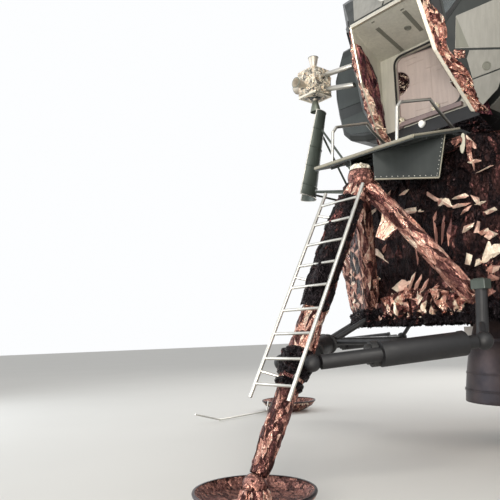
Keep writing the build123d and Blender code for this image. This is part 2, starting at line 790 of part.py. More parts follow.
# Instrument panel over the hatch, and the consoles along both walls
with BuildPart() as panels:
    with BuildSketch(Plane.XZ.offset(hatch_plane - cabin_wall - seat_gap)):
        with Locations((0, panel_bottom)):
            Rectangle(2 * panel_half, panel_tall, align=(Align.CENTER, Align.MIN))
    extrude(amount=-panel_depth)
    for side in (-1, 1):
        with Locations(Location((side * cabin_radius, -console_front, console_height))):
            Box(2 * console_width, console_length, 110, align=(Align.CENTER, Align.MIN, Align.CENTER))
    with BuildPart(mode=Mode.INTERSECT):
        with Locations(Location((0, 0, cabin_height), (90, 0, 0))):
            Cylinder(cabin_radius - cabin_wall - seat_gap, 2 * beak_out)
finish(panels, "instrument_panels")

# Forward hatch, hinged on the crew's right and standing ajar
swing = radians(hatch_ajar)
hatch_way = Vector(cos(swing), sin(swing), 0)
hatch_out = Vector(sin(swing), -cos(swing), 0)
hatch_face = Plane(origin=hatch_hinge + hatch_out * (cabin_wall + hinge_back - 4), x_dir=hatch_way,
                   z_dir=hatch_out)
with BuildPart() as hatch:
    with BuildSketch(hatch_face):
        with Locations((hatch_width / 2 - 10, hatch_bottom + hatch_height / 2)):
            RectangleRounded(hatch_width - 2 * running_gap, hatch_height - 2 * running_gap,
                             hatch_corner - running_gap)
    extrude(amount=-cabin_wall)
    with BuildSketch(hatch_face):
        for across in (running_gap - 10, hatch_width - running_gap - 10):
            with Locations((across, hatch_bottom + pocket_up)):
                Circle(pocket_size)
    extrude(amount=-pocket_sink, mode=Mode.SUBTRACT)
    for height in hinge_heights:
        with Locations(Location((hatch_hinge.X, hatch_hinge.Y, height))):
            Cylinder(hinge_radius, hinge_length)
        with Locations(Location((hatch_hinge.X, hatch_hinge.Y, height), (0, 0, hatch_ajar))):
            Box(40, hinge_back, hinge_length, align=(Align.MIN, Align.MAX, Align.CENTER))
finish(hatch, "forward_hatch")

# Midsection: chamfered box, hollow behind the bulkhead, with the tunnel's hole in its roof
mid_profile = [(-mid_half, mid_bottom + 250), (-mid_half + 250, mid_bottom), (mid_half - 250, mid_bottom),
               (mid_half, mid_bottom + 250), (mid_half, mid_top - 560), (mid_half - 480, mid_top),
               (-mid_half + 480, mid_top), (-mid_half, mid_top - 560)]
mid_front = cabin_rear - bulkhead_plate
with BuildPart() as mid:
    with BuildSketch(Plane.XZ.offset(mid_front)):
        with BuildLine():
            Polyline(*mid_profile, close=True)
        make_face()
    extrude(amount=-(mid_front + mid_rear))
    with BuildSketch(Plane.XZ.offset(mid_front)):
        with Locations((0, (mid_cavity_bottom + mid_cavity_top) / 2)):
            Rectangle(2 * mid_cavity_half, mid_cavity_top - mid_cavity_bottom)
    extrude(amount=-(mid_front + mid_rear - mid_skin), mode=Mode.SUBTRACT)
    with BuildSketch(Plane.XY.offset(mid_cavity_top)):
        Circle(tunnel_radius)
    extrude(amount=mid_top - mid_cavity_top, mode=Mode.SUBTRACT)
    with BuildSketch(Plane.XY.offset(mid_bottom)):
        Circle(330)
    extrude(amount=engine_hole_depth, mode=Mode.SUBTRACT)
    for sx in (-1, 1):
        with Locations(Location((sx * 95, overhead_hinge_out, mid_cavity_top))):
            Box(24, 40, 2 * overhead_hinge_drop, align=(Align.CENTER, Align.CENTER, Align.MAX))
        for y in (-mid_foot, mid_foot):
            with Locations(Location((sx * mid_foot, y, mid_bottom + 1))):
                Box(120, 120, mid_bottom + 1 - stage_top - seat_gap,
                    align=(Align.CENTER, Align.CENTER, Align.MAX))
    with Locations(Location((0, overhead_hinge_out, mid_cavity_top - overhead_hinge_drop), (0, 90, 0))):
        Cylinder(8 + pin_play, 300, mode=Mode.SUBTRACT)
finish(mid, "midsection")

with BuildPart() as tunnel:
    with BuildSketch(Plane.XY.offset(mid_top)):
        Circle(tunnel_radius + tunnel_wall)
        Circle(tunnel_radius, mode=Mode.SUBTRACT)
    extrude(amount=tunnel_length)
    with BuildSketch(Plane.XY.offset(mid_top + tunnel_length - 60)):
        Circle(tunnel_radius + tunnel_wall + 22)
        Circle(tunnel_radius, mode=Mode.SUBTRACT)
    extrude(amount=38)
finish(tunnel, "docking_tunnel")

with BuildPart() as overhead:
    with BuildSketch(Plane.XY.offset(mid_cavity_top - seat_gap - overhead_thickness)):
        Circle(tunnel_radius + overhead_lap)
    extrude(amount=overhead_thickness)
    with Locations(Location((0, overhead_hinge_out, mid_cavity_top - overhead_hinge_drop))):
        Box(150, 100, 16, align=(Align.CENTER, Align.MAX, Align.CENTER))
    with Locations(Location((0, overhead_hinge_out, mid_cavity_top - overhead_hinge_drop), (0, 90, 0))):
        Cylinder(12, 150)
        Cylinder(8, 210)
finish(overhead, "overhead_hatch")

# Engine cover in the cabin's back, and the ascent engine below it
with BuildPart() as cover:
    with BuildSketch(Plane.XY.offset(mid_cavity_bottom + seat_gap)):
        Circle(370)
    extrude(amount=560)
    fillet(cover.faces().sort_by(Axis.Z)[-1].edges(), 60)
finish(cover, "ascent_engine_cover")

# Ascent engine outline: radius, and depth below the top of its hole
ascent_rows = [(0, seat_gap), (120, seat_gap), (120, 140), (210, 320), (300, 520), (368, 720), (356, 720),
               (288, 516), (198, 316), (80, 160), (0, 160)]
with BuildPart() as ascent_engine:
    with BuildSketch(Plane.XZ):
        with BuildLine():
            Polyline(*[(r, mid_bottom + engine_hole_depth - down) for r, down in ascent_rows], close=True)
        make_face()
    revolve(axis=Axis.Z)
finish(ascent_engine, "ascent_engine")

# Tank bays on both sides of the midsection, the left one larger
for name, side, reach in (("left", 1, bay_left_reach), ("right", -1, bay_right_reach)):
    outline = [(side * (mid_half + share * (reach - mid_half)), cabin_height + up) for share, up in bay_outline]
    with BuildPart() as tank_bay:
        with BuildSketch(Plane.XZ.offset(bay_front)):
            with BuildLine():
                Polyline(*outline, close=True)
            make_face()
        extrude(amount=-(bay_front + bay_rear))
        rims = [edge for face in tank_bay.faces().filter_by(Axis.Y) for edge in face.edges()
                if abs(edge.center().X) > mid_half + 1]
        chamfer(rims, bay_chamfer)
        with Locations(Location((0, seat_gap - cabin_rear + bulkhead_plate, cabin_height), (90, 0, 0))):
            Cylinder(cabin_radius + seat_gap, beak_out, mode=Mode.SUBTRACT,
                     align=(Align.CENTER, Align.CENTER, Align.MIN))
    finish(tank_bay, f"tank_bay_{name}")

# Aft equipment bay with its flat rack face
with BuildPart() as aft_bay:
    with BuildSketch(Plane.YZ):
        with BuildLine():
            Polyline(*[(mid_rear + aft, cabin_height + up) for aft, up in aft_outline], close=True)
        make_face()
    extrude(amount=aft_half, both=True)
    chamfer(aft_bay.edges().filter_by(Axis.Z).sort_by(Axis.Y)[-2:], 150)
finish(aft_bay, "aft_equipment_bay")

# Thruster clusters: housing, four bell nozzles and the boom that carries them
with BuildPart() as housing:
    for name, sx, sy in clusters:
        with Locations(Location((sx * quad_place, sy * quad_place, cabin_height))):
            Box(2 * quad_half, 2 * quad_half, 2 * quad_height)
    chamfer(housing.edges().filter_by(Axis.Z), 45)
finish(housing, "thruster_housings")

with BuildPart() as nozzle_form:
    with BuildSketch(Plane.XZ):
        with BuildLine():
            Polyline((0, 0), (38, 0), (30, 45), (52, 120), (thruster_exit, thruster_length),
                     (thruster_exit - thruster_wall, thruster_length), (43, 118), (18, 70), (0, 70),
                     close=True)
        make_face()
    revolve(axis=Axis.Z)

thrusters = []
for name, sx, sy in clusters:
    centre = Vector(sx * quad_place, sy * quad_place, cabin_height)
    # Each nozzle: place on the housing and the way it fires
    nozzle_rows = [((0, 0, quad_height + seat_gap), (0, 0, 1)), ((0, 0, -quad_height - seat_gap), (0, 0, -1)),
                   ((sx * (quad_half + seat_gap), 0, 60), (sx, 0, 0)),
                   ((0, sy * (quad_half + seat_gap), -60), (0, sy, 0))]
    for place, way in nozzle_rows:
        thrusters.append(Plane(origin=centre + Vector(*place), z_dir=way).location * nozzle_form.part)
thruster_set = Compound(children=thrusters)
thruster_set.label = "thruster_nozzles"
export_step(thruster_set, "parts/thruster_nozzles.step")

with BuildPart() as booms:
    for name, sx, sy in clusters:
        for up in (-90, 90):
            root = Vector(sx * 0.9 * cabin_radius, sy * boom_root, cabin_height + 1.6 * up)
            rod(root, Vector(sx * quad_place, sy * quad_place, cabin_height + up), boom_radius)
    for name, sx, sy in clusters:
        with Locations(Location((sx * quad_place, sy * quad_place, cabin_height))):
            Box(2 * (quad_half + seat_gap), 2 * (quad_half + seat_gap), 3 * quad_height, mode=Mode.SUBTRACT)
    with Locations(Location((0, -cabin_rear, cabin_height), (90, 0, 0))):
        Cylinder(cabin_radius + seat_gap, beak_out, mode=Mode.SUBTRACT,
                 align=(Align.CENTER, Align.CENTER, Align.MIN))
    with Locations(Location((0, cabin_rear, cabin_height))):
        Box(2 * (aft_half + seat_gap), aft_reach, 4 * quad_height, mode=Mode.SUBTRACT,
            align=(Align.CENTER, Align.MIN, Align.CENTER))
finish(booms, "thruster_booms")

# Plume deflectors: open troughs that widen downwards under the lower nozzles
diagonals = [-135.0, -45.0, 45.0, 135.0]
trough_length = sqrt((deflector_foot_out - deflector_top_out) ** 2 + (deflector_top - deflector_foot) ** 2)
with BuildPart() as trough:
    Cone(deflector_top_radius, deflector_foot_radius, trough_length,
         align=(Align.CENTER, Align.CENTER, Align.MIN))
    Cone(deflector_top_radius - deflector_wall, deflector_foot_radius - deflector_wall, trough_length,
         align=(Align.CENTER, Align.CENTER, Align.MIN), mode=Mode.SUBTRACT)
    Box(3 * deflector_foot_radius, 2 * deflector_foot_radius, 3 * trough_length,
        align=(Align.CENTER, Align.MIN, Align.CENTER), mode=Mode.SUBTRACT)

# Struts of a deflector: share along the trough, then side and height of the end on the stage
strut_rows = [(0.1, 480, -25), (0.1, -480, -25), (0.94, 0, -40), (0.94, 330, -150), (0.94, -330, -150)]
with BuildPart() as deflectors:
    for azimuth in diagonals:
        top = leg_point(azimuth, deflector_top_out, 0, deflector_top)
        foot = leg_point(azimuth, deflector_foot_out, 0, deflector_foot)
        for share, side, rise in strut_rows:
            end = leg_point(azimuth, diagonal_face - 40, side, stage_top + rise)
            rod(top + (foot - top) * share, end, deflector_tube)
        frame = Plane(origin=top, x_dir=leg_point(azimuth, 0, 1, 0), z_dir=foot - top)
        with Locations(frame.location):
            Cone(deflector_top_radius - 1, deflector_foot_radius - 1, trough_length, mode=Mode.SUBTRACT,
                 align=(Align.CENTER, Align.CENTER, Align.MIN))
        add(frame.location * trough.part)
    trim_stage()
finish(deflectors, "plume_deflectors")

# Rendezvous radar: pedestal, shaft that tips and dish that turns on it
shaft_centre = Vector(0, -radar_out, radar_axis_height)
with BuildPart() as pedestal:
    with BuildSketch(Plane.XY.offset(cabin_height + cabin_radius - 60)):
        with Locations((0, -radar_out)):
            Rectangle(190, 230)
    extrude(amount=150)
    with BuildSketch(Plane.XY.offset(cabin_height + cabin_radius + 90)):
        with Locations((0, -radar_out)):
            Rectangle(120, 150)
    extrude(amount=radar_axis_height - cabin_height - cabin_radius - 90 - 90)
    for side in (-1, 1):
        with Locations(Location((side * 95, -radar_out, radar_axis_height + 35))):
            Box(24, 80, 195, align=(Align.CENTER, Align.CENTER, Align.MAX))
        with Locations(Location((side * 75, -radar_out, radar_axis_height - 125))):
            Box(60, 80, 70)
    trim_cabin()
    with Locations(Location(shaft_centre, (0, 90, 0))):
        Cylinder(22 + pin_play, 400, mode=Mode.SUBTRACT)
finish(pedestal, "radar_pedestal")

with BuildPart() as shaft:
    with Locations(Location(shaft_centre, (0, 90, 0))):
        Cylinder(22, 214)
        Cylinder(52, 150)
    with Locations(Location((0, -radar_out, radar_axis_height + 95))):
        Cylinder(36, 190)
finish(shaft, "radar_shaft")

radar_hub = Vector(0, -radar_out, radar_axis_height + 190 + seat_gap)
radar_dish_height = radar_axis_height + radar_dish_rise
radar_boresight = Plane(origin=(0, -radar_out, radar_dish_height), x_dir=(1, 0, 0), z_dir=(0, -1, 0))
with BuildPart() as radar:
    with BuildSketch(Plane.XY.offset(radar_hub.Z)):
        with Locations((0, -radar_out)):
            Rectangle(150, 130)
    extrude(amount=radar_dish_height - radar_hub.Z + 60)
    with BuildSketch(radar_boresight):
        Circle(60)
    extrude(amount=radar_dish_front + 10)
    dish(radar_boresight.offset(radar_dish_front), radar_dish_radius)
finish(radar, "radar_dish")

# Steerable antenna on its boom at the crew's upper right
steer_centre = Vector(-steer_side, -steer_out, steer_axis_height)
fork_height = steer_axis_height - steer_fork_drop
with BuildPart() as mast:
    rod(Vector(-700, -steer_out, mid_top - 220), Vector(-steer_side, -steer_out, fork_height - 170), 34)
    rod(Vector(-steer_side, -steer_out, fork_height - 200),
        Vector(-steer_side, -steer_out, fork_height - 40), 46)
    slope_way = Vector(-560, 0, 480).normalized()
    cut_half(Vector(480 - mid_half, 0, mid_top) + slope_way * seat_gap, -slope_way)
finish(mast, "antenna_mast")

with BuildPart() as fork:
    rod(Vector(-steer_side, -steer_out, fork_height - 40 + seat_gap),
        Vector(-steer_side, -steer_out, fork_height + 10), 40)
    with Locations(Location((-steer_side, -steer_out, fork_height))):
        Box(2 * steer_arm_side + 40, 50, 30)
    for side in (-1, 1):
        with Locations(Location((-steer_side + side * steer_arm_side, -steer_out,
                                 fork_height + steer_fork_drop / 2))):
            Box(22, 50, steer_fork_drop + 30)
    with Locations(Location(steer_centre, (0, 90, 0))):
        Cylinder(14 + pin_play, 3 * steer_arm_side, mode=Mode.SUBTRACT)
finish(fork, "antenna_fork")

with BuildPart() as steer_dish:
    with Locations(Location(steer_centre, (0, 90, 0))):
        Cylinder(14, 2 * steer_arm_side + 16)
    with Locations(Location(steer_centre)):
        Box(200, 120, 160)
    dish(Plane(origin=steer_centre + Vector(0, -50, 0), x_dir=(1, 0, 0), z_dir=(0, -1, 0)), steer_dish_radius)
finish(steer_dish, "antenna_dish")

# Equipment pallet that folds down from the front left face
with BuildPart() as pallet:
    with BuildSketch(pallet_face):
        with Locations((0, pallet_bottom + pallet_tall / 2)):
            Rectangle(2 * pallet_half, pallet_tall)
    extrude(amount=-pallet_depth)
    with Locations(pallet_hinge.location):
        Cylinder(pallet_pin, 2 * (pallet_half + pallet_lug))
finish(pallet, "equipment_pallet")

# Landing radar under the aft right of the base
with BuildPart() as landing_radar:
    with Locations(Location((lr_side, lr_aft, lr_axis_height))):
        Box(2 * lr_half_x, 2 * lr_half_y, lr_thickness)
    with Locations(Location((lr_side, lr_aft, lr_axis_height), (0, 90, 0))):
        Cylinder(lr_pin_radius, 2 * lr_bracket_side + lr_bracket_plate)
finish(landing_radar, "landing_radar")

# Lamps: tracking lamp on the brow, lamp under the hatch, running lamps on the bays
# Each row: plane, radius, depth
brow_lamp_out = beak_out - (brow_lamp_height - beak_height - 10) * brow_slope + 1.1 * seat_gap
lamp_table = [
    (Plane(origin=(0, -brow_lamp_out, brow_lamp_height), z_dir=brow_plane()[1]), 85, 70),
    (Plane(origin=(-90, -hatch_plane - seat_gap, floor_top - 80), z_dir=(0, -1, 0)), 36, 30),
    (Plane(origin=(bay_left_reach + seat_gap, -380, cabin_height + 200), z_dir=(1, 0, 0)), 40, 45),
    (Plane(origin=(-bay_right_reach - seat_gap, -380, cabin_height + 200), z_dir=(-1, 0, 0)), 40, 45),
    (Plane(origin=(-700, aft_reach + seat_gap, cabin_height - 299), z_dir=(0, 1, 0)), 40, 45),
]
with BuildPart() as lamps:
    for plane, radius, depth in lamp_table:
        with BuildSketch(plane):
            Circle(radius)
        extrude(amount=depth)
finish(lamps, "lamps")

# Fixed antennas on the midsection's top: two VHF blades with domes and the EVA antenna
with BuildPart() as antennas:
    for x, y in ((500, 560), (-500, -560)):
        with BuildSketch(Plane.XY.offset(mid_top + seat_gap)):
            with Locations((x, y)):
                Circle(38)
        extrude(amount=170)
        with BuildSketch(Plane.XY.offset(mid_top + seat_gap + 170)):
            with Locations((x, y)):
                Circle(62)
        extrude(amount=120, taper=14)
    with BuildSketch(Plane.XY.offset(mid_top + seat_gap)):
        with Locations((-470, 590)):
            Circle(22)
    extrude(amount=340)
    with BuildSketch(Plane.XY.offset(mid_top + seat_gap + 340)):
        with Locations((-470, 590)):
            Circle(70)
    extrude(amount=14)
finish(antennas, "fixed_antennas")
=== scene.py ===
import logging
import math
import random
from dataclasses import dataclass, field
from enum import Enum
from math import cos, hypot, pi, sin
from typing import Callable, Iterable, Sequence

import bpy
from mathutils import Matrix, Vector, geometry


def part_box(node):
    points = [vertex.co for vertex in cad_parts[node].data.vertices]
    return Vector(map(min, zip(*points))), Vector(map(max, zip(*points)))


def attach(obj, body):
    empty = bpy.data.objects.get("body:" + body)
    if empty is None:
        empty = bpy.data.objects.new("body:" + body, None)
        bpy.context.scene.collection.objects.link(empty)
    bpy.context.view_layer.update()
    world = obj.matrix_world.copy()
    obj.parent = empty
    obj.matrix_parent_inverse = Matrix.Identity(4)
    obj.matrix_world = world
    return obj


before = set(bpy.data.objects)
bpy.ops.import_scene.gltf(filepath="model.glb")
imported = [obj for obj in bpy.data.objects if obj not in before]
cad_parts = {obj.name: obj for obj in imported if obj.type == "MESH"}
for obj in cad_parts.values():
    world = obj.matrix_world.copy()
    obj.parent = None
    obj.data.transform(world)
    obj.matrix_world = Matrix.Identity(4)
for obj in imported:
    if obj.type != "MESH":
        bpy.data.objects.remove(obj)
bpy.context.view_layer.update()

log = logging.getLogger("lander")

Colour = tuple[float, float, float]
Pair = tuple[float, float]
Outline = Sequence[Pair]
Stops = Sequence[tuple[float, Colour]]
Tone = Callable[[float, float], float]
Fold = tuple[float, float, float, float, float, float]
Socket = bpy.types.NodeSocket

LEFT, AFT, UP = Vector((1, 0, 0)), Vector((0, 1, 0)), Vector((0, 0, 1))
FOIL_PROUD = 0.004
# Height of the bend in the slanted front faces
FACE_BEND = 4.148
# Quarter turn of each leg from the crew's left
LEGS = {"front": 3, "left": 0, "aft": 1, "right": 2}


class Source(Enum):
    """Where a foil takes the shade of each facet from."""

    FACETS = "facet"
    CELLS = "cells"


class Shader:
    """A node material under construction, in the row frame's own metres."""

    def __init__(self, name: str) -> None:
        """Start a material with a bare Principled shader.

        Args:
            name: Name of the material that it makes.
        """
        self.material = bpy.data.materials.new(name)
        self.material.use_nodes = True
        self.tree = self.material.node_tree
        self.surface = self.tree.nodes["Principled BSDF"]
        self.place = self.tree.nodes.new("ShaderNodeTexCoord").outputs["Object"]

    def fill(self, node: bpy.types.Node, **inputs: object) -> bpy.types.Node:
        """Fill a node's inputs.

        Args:
            node: Node to fill.
            inputs: Link or constant for each input, with underscores for spaces in its name.

        Returns:
            The same node.
        """
        for key, value in inputs.items():
            socket = node.inputs[key.replace("_", " ")]
            if isinstance(value, Socket):
                self.tree.links.new(value, socket)
            else:
                socket.default_value = value
        return node

    def add(self, kind: str, **inputs: object) -> bpy.types.Node:
        """Return a new node of a kind, with its inputs filled."""
        return self.fill(self.tree.nodes.new(f"ShaderNode{kind}"), **inputs)

    def set(self, **inputs: object) -> None:
        """Fill the Principled shader's inputs."""
        self.fill(self.surface, **inputs)

    def stretched(self, stretch: Colour) -> Socket:
        """Return the place coordinates scaled by a factor along each axis."""
        return self.add("Mapping", Scale=stretch, Vector=self.place).outputs["Vector"]

    def noise(self, scale: float, detail: float = 3.0, stretch: Colour = (1, 1, 1)) -> Socket:
        """Return fractal noise, by its waves per metre and its octaves."""
        return self.add("TexNoise", Scale=scale, Detail=detail, Vector=self.stretched(stretch)).outputs["Fac"]

    def cells(self, scale: float, edges: bool = False, stretch: Colour = (1, 1, 1)) -> Socket:
        """Return a value from random cells.

        Args:
            scale: Cells per metre.
            edges: Whether it is the distance to the cell's edge, not a shade for each cell.
            stretch: Factor on the coordinates along each axis.

        Returns:
            The value.
        """
        voronoi = self.add("TexVoronoi", Scale=scale, Vector=self.stretched(stretch))
        if edges:
            voronoi.feature = "DISTANCE_TO_EDGE"
            return voronoi.outputs["Distance"]
        return self.add("SeparateColor", Color=voronoi.outputs["Color"]).outputs["Red"]

    def facets(self) -> Socket:
        """Return the shade that the mesh holds for each face.

        Returns:
            The socket that holds it.
        """
        node = self.add("Attribute")
        node.attribute_name = "facet"
        return node.outputs["Fac"]

    def ramp(self, value: Socket, stops: Stops) -> Socket:
        """Turn a value into a colour.

        Args:
            value: Value from 0 to 1.
            stops: Place and colour of each stop.

        Returns:
            The colour.
        """
        ramp = self.add("ValToRGB", Fac=value)
        elements = ramp.color_ramp.elements
        while len(elements) < len(stops):
            elements.new(1.0)
        for element, (place, colour) in zip(elements, stops):
            element.position = place
            element.color = (*colour, 1.0)
        return ramp.outputs["Color"]

    def band(self, value: Socket, low: float, high: float, to_low: float = 0.0, to_high: float = 1.0) -> Socket:
        """Return a value's range mapped onto another range, held at both ends."""
        return self.add("MapRange", Value=value, From_Min=low, From_Max=high, To_Min=to_low,
                        To_Max=to_high).outputs["Result"]

    def mix(self, share: Socket | float, first: Socket | Colour, second: Socket | Colour,
            blend: str = "MIX") -> Socket:
        """Mix two colours.

        Args:
            share: How much of the second colour shows.
            first: Colour or socket.
            second: Colour or socket.
            blend: Blend mode of the mix node.

        Returns:
            The mixed colour.
        """
        node = self.add("Mix")
        node.data_type = "RGBA"
        node.blend_type = blend
        for key, value in (("Factor_Float", share), ("A_Color", first), ("B_Color", second)):
            socket = next(s for s in node.inputs if s.identifier == key)
            if isinstance(value, Socket):
                self.tree.links.new(value, socket)
            else:
                socket.default_value = value if isinstance(value, float) else (*value, 1.0)
        return next(s for s in node.outputs if s.identifier == "Result_Color")

    def bump(self, *layers: tuple[Socket, float]) -> None:
        """Chain bump layers into the shader's normal, each a height and its depth in metres."""
        normal: dict[str, Socket] = {}
        for height, depth in layers:
            normal = {"Normal": self.add("Bump", Distance=depth, Height=height, **normal).outputs["Normal"]}
        self.set(**normal)


@dataclass(frozen=True)
class Foil:
    """Crumpled metal-coated foil: a shade for each facet and fine creases."""

    name: str
    slot: str
    shades: Stops
    source: Source = Source.FACETS
    roughness: float = 0.3
    crease: float = 26.0
    crease_depth: float = 0.006
    facet_size: float = 9.0
    metallic: float = 1.0

    def material(self) -> bpy.types.Material:
        """Return the finish as a node material.

        Returns:
            The material.
        """
        shader = Shader(self.name)
        if self.source is Source.FACETS:
            shade = shader.facets()
        else:
            shade = shader.cells(self.facet_size, stretch=(1.0, 1.3, 0.7))
        drift = shader.band(shader.noise(3.0, 4.0), 0.3, 0.7, 0.72, 1.18)
        gloss = shader.band(shader.noise(14.0), 0.3, 0.7, self.roughness - 0.08, self.roughness + 0.12)
        shader.set(Base_Color=shader.mix(1.0, shader.ramp(shade, self.shades), drift, "MULTIPLY"),
                   Metallic=self.metallic, Roughness=gloss)
        folds = shader.band(shader.cells(self.crease, True, (1.0, 1.4, 0.55)), 0.0, 0.12)
        creases = shader.band(shader.cells(self.crease * 3.1, True), 0.0, 0.2)
        shader.bump((folds, self.crease_depth), (creases, self.crease_depth * 0.25),
                    (shader.noise(60.0, 2.0), self.crease_depth * 0.12))
        return shader.material


@dataclass(frozen=True)
class Panel:
    """Anodised or painted sheet metal with faint mottling, streaks and oil-canning."""

    name: str
    slot: str
    light: Colour
    dark: Colour
    metallic: float = 0.0
    roughness: float = 0.5
    mottle: float = 1.4
    dimple: float = 0.004
    speck: float = 0.0

    def material(self) -> bpy.types.Material:
        """Return the finish as a node material.

        Returns:
            The material.
        """
        shader = Shader(self.name)
        tone = shader.mix(shader.band(shader.noise(self.mottle, 5.0), 0.3, 0.7), self.dark, self.light)
        streak = shader.band(shader.noise(5.0, 4.0, (6.0, 6.0, 0.5)), 0.35, 0.75, 0.9, 1.06)
        tone = shader.mix(1.0, tone, streak, "MULTIPLY")
        if self.speck > 0:
            grime = shader.band(shader.noise(38.0, 5.0), 0.62, 0.78, 0.0, self.speck)
            tone = shader.mix(grime, tone, tuple(0.35 * c for c in self.dark))
        gloss = shader.band(shader.noise(9.0, 4.0), 0.3, 0.7, self.roughness - 0.1, self.roughness + 0.1)
        shader.set(Base_Color=tone, Metallic=self.metallic, Roughness=gloss)
        shader.bump((shader.noise(2.6, 2.0), self.dimple), (shader.noise(220.0, 2.0), 0.0002))
        return shader.material


@dataclass(frozen=True)
class Alloy:
    """Bare metal tube, casting or bell with grinding marks and heat tint."""

    name: str
    slot: str
    colour: Colour
    tint: Colour
    roughness: float = 0.35
    metallic: float = 1.0
    grain: Colour = (1.0, 1.0, 1.0)

    def material(self) -> bpy.types.Material:
        """Return the finish as a node material.

        Returns:
            The material.
        """
        shader = Shader(self.name)
        tone = shader.mix(shader.band(shader.noise(4.0, 5.0), 0.35, 0.7), self.colour, self.tint)
        marks = shader.noise(70.0, 4.0, self.grain)
        gloss = shader.band(marks, 0.3, 0.7, self.roughness - 0.08, self.roughness + 0.12)
        shader.set(Base_Color=tone, Metallic=self.metallic, Roughness=gloss)
        shader.bump((marks, 0.0006), (shader.noise(8.0), 0.0015))
        return shader.material


@dataclass(frozen=True)
class Glazing:
    """Clear or frosted glass with a faint smear, and a painted glow where it is given one."""

    name: str
    slot: str
    colour: Colour
    clarity: float
    roughness: float
    painted_glow: float = 0.0

    def material(self) -> bpy.types.Material:
        """Return the finish as a node material.

        Returns:
            The material.
        """
        shader = Shader(self.name)
        smear = shader.band(shader.noise(6.0, 5.0), 0.35, 0.75, 0.85, 1.05)
        gloss = shader.band(shader.noise(11.0), 0.3, 0.7, self.roughness, self.roughness + 0.08)
        shader.set(Base_Color=shader.mix(1.0, self.colour, smear, "MULTIPLY"), IOR=1.5, Roughness=gloss,
                   Transmission_Weight=self.clarity, Emission_Strength=self.painted_glow,
                   Emission_Color=(*self.colour, 1.0))
        return shader.material


SOOT: Colour = (0.010, 0.008, 0.009)
UMBER: Colour = (0.045, 0.022, 0.020)
BURGUNDY: Colour = (0.150, 0.060, 0.058)
COPPER: Colour = (0.520, 0.260, 0.200)
ROSE: Colour = (0.800, 0.520, 0.420)
# Brightest facet colour of the foils: pale cream foil, and painted sun glints on the facets whose random shade
# reaches it
CREAM_AND_PAINTED_GLINT: Colour = (0.920, 0.780, 0.620)
AMBER: Colour = (0.640, 0.330, 0.120)
SILVER: Colour = (0.820, 0.780, 0.680)


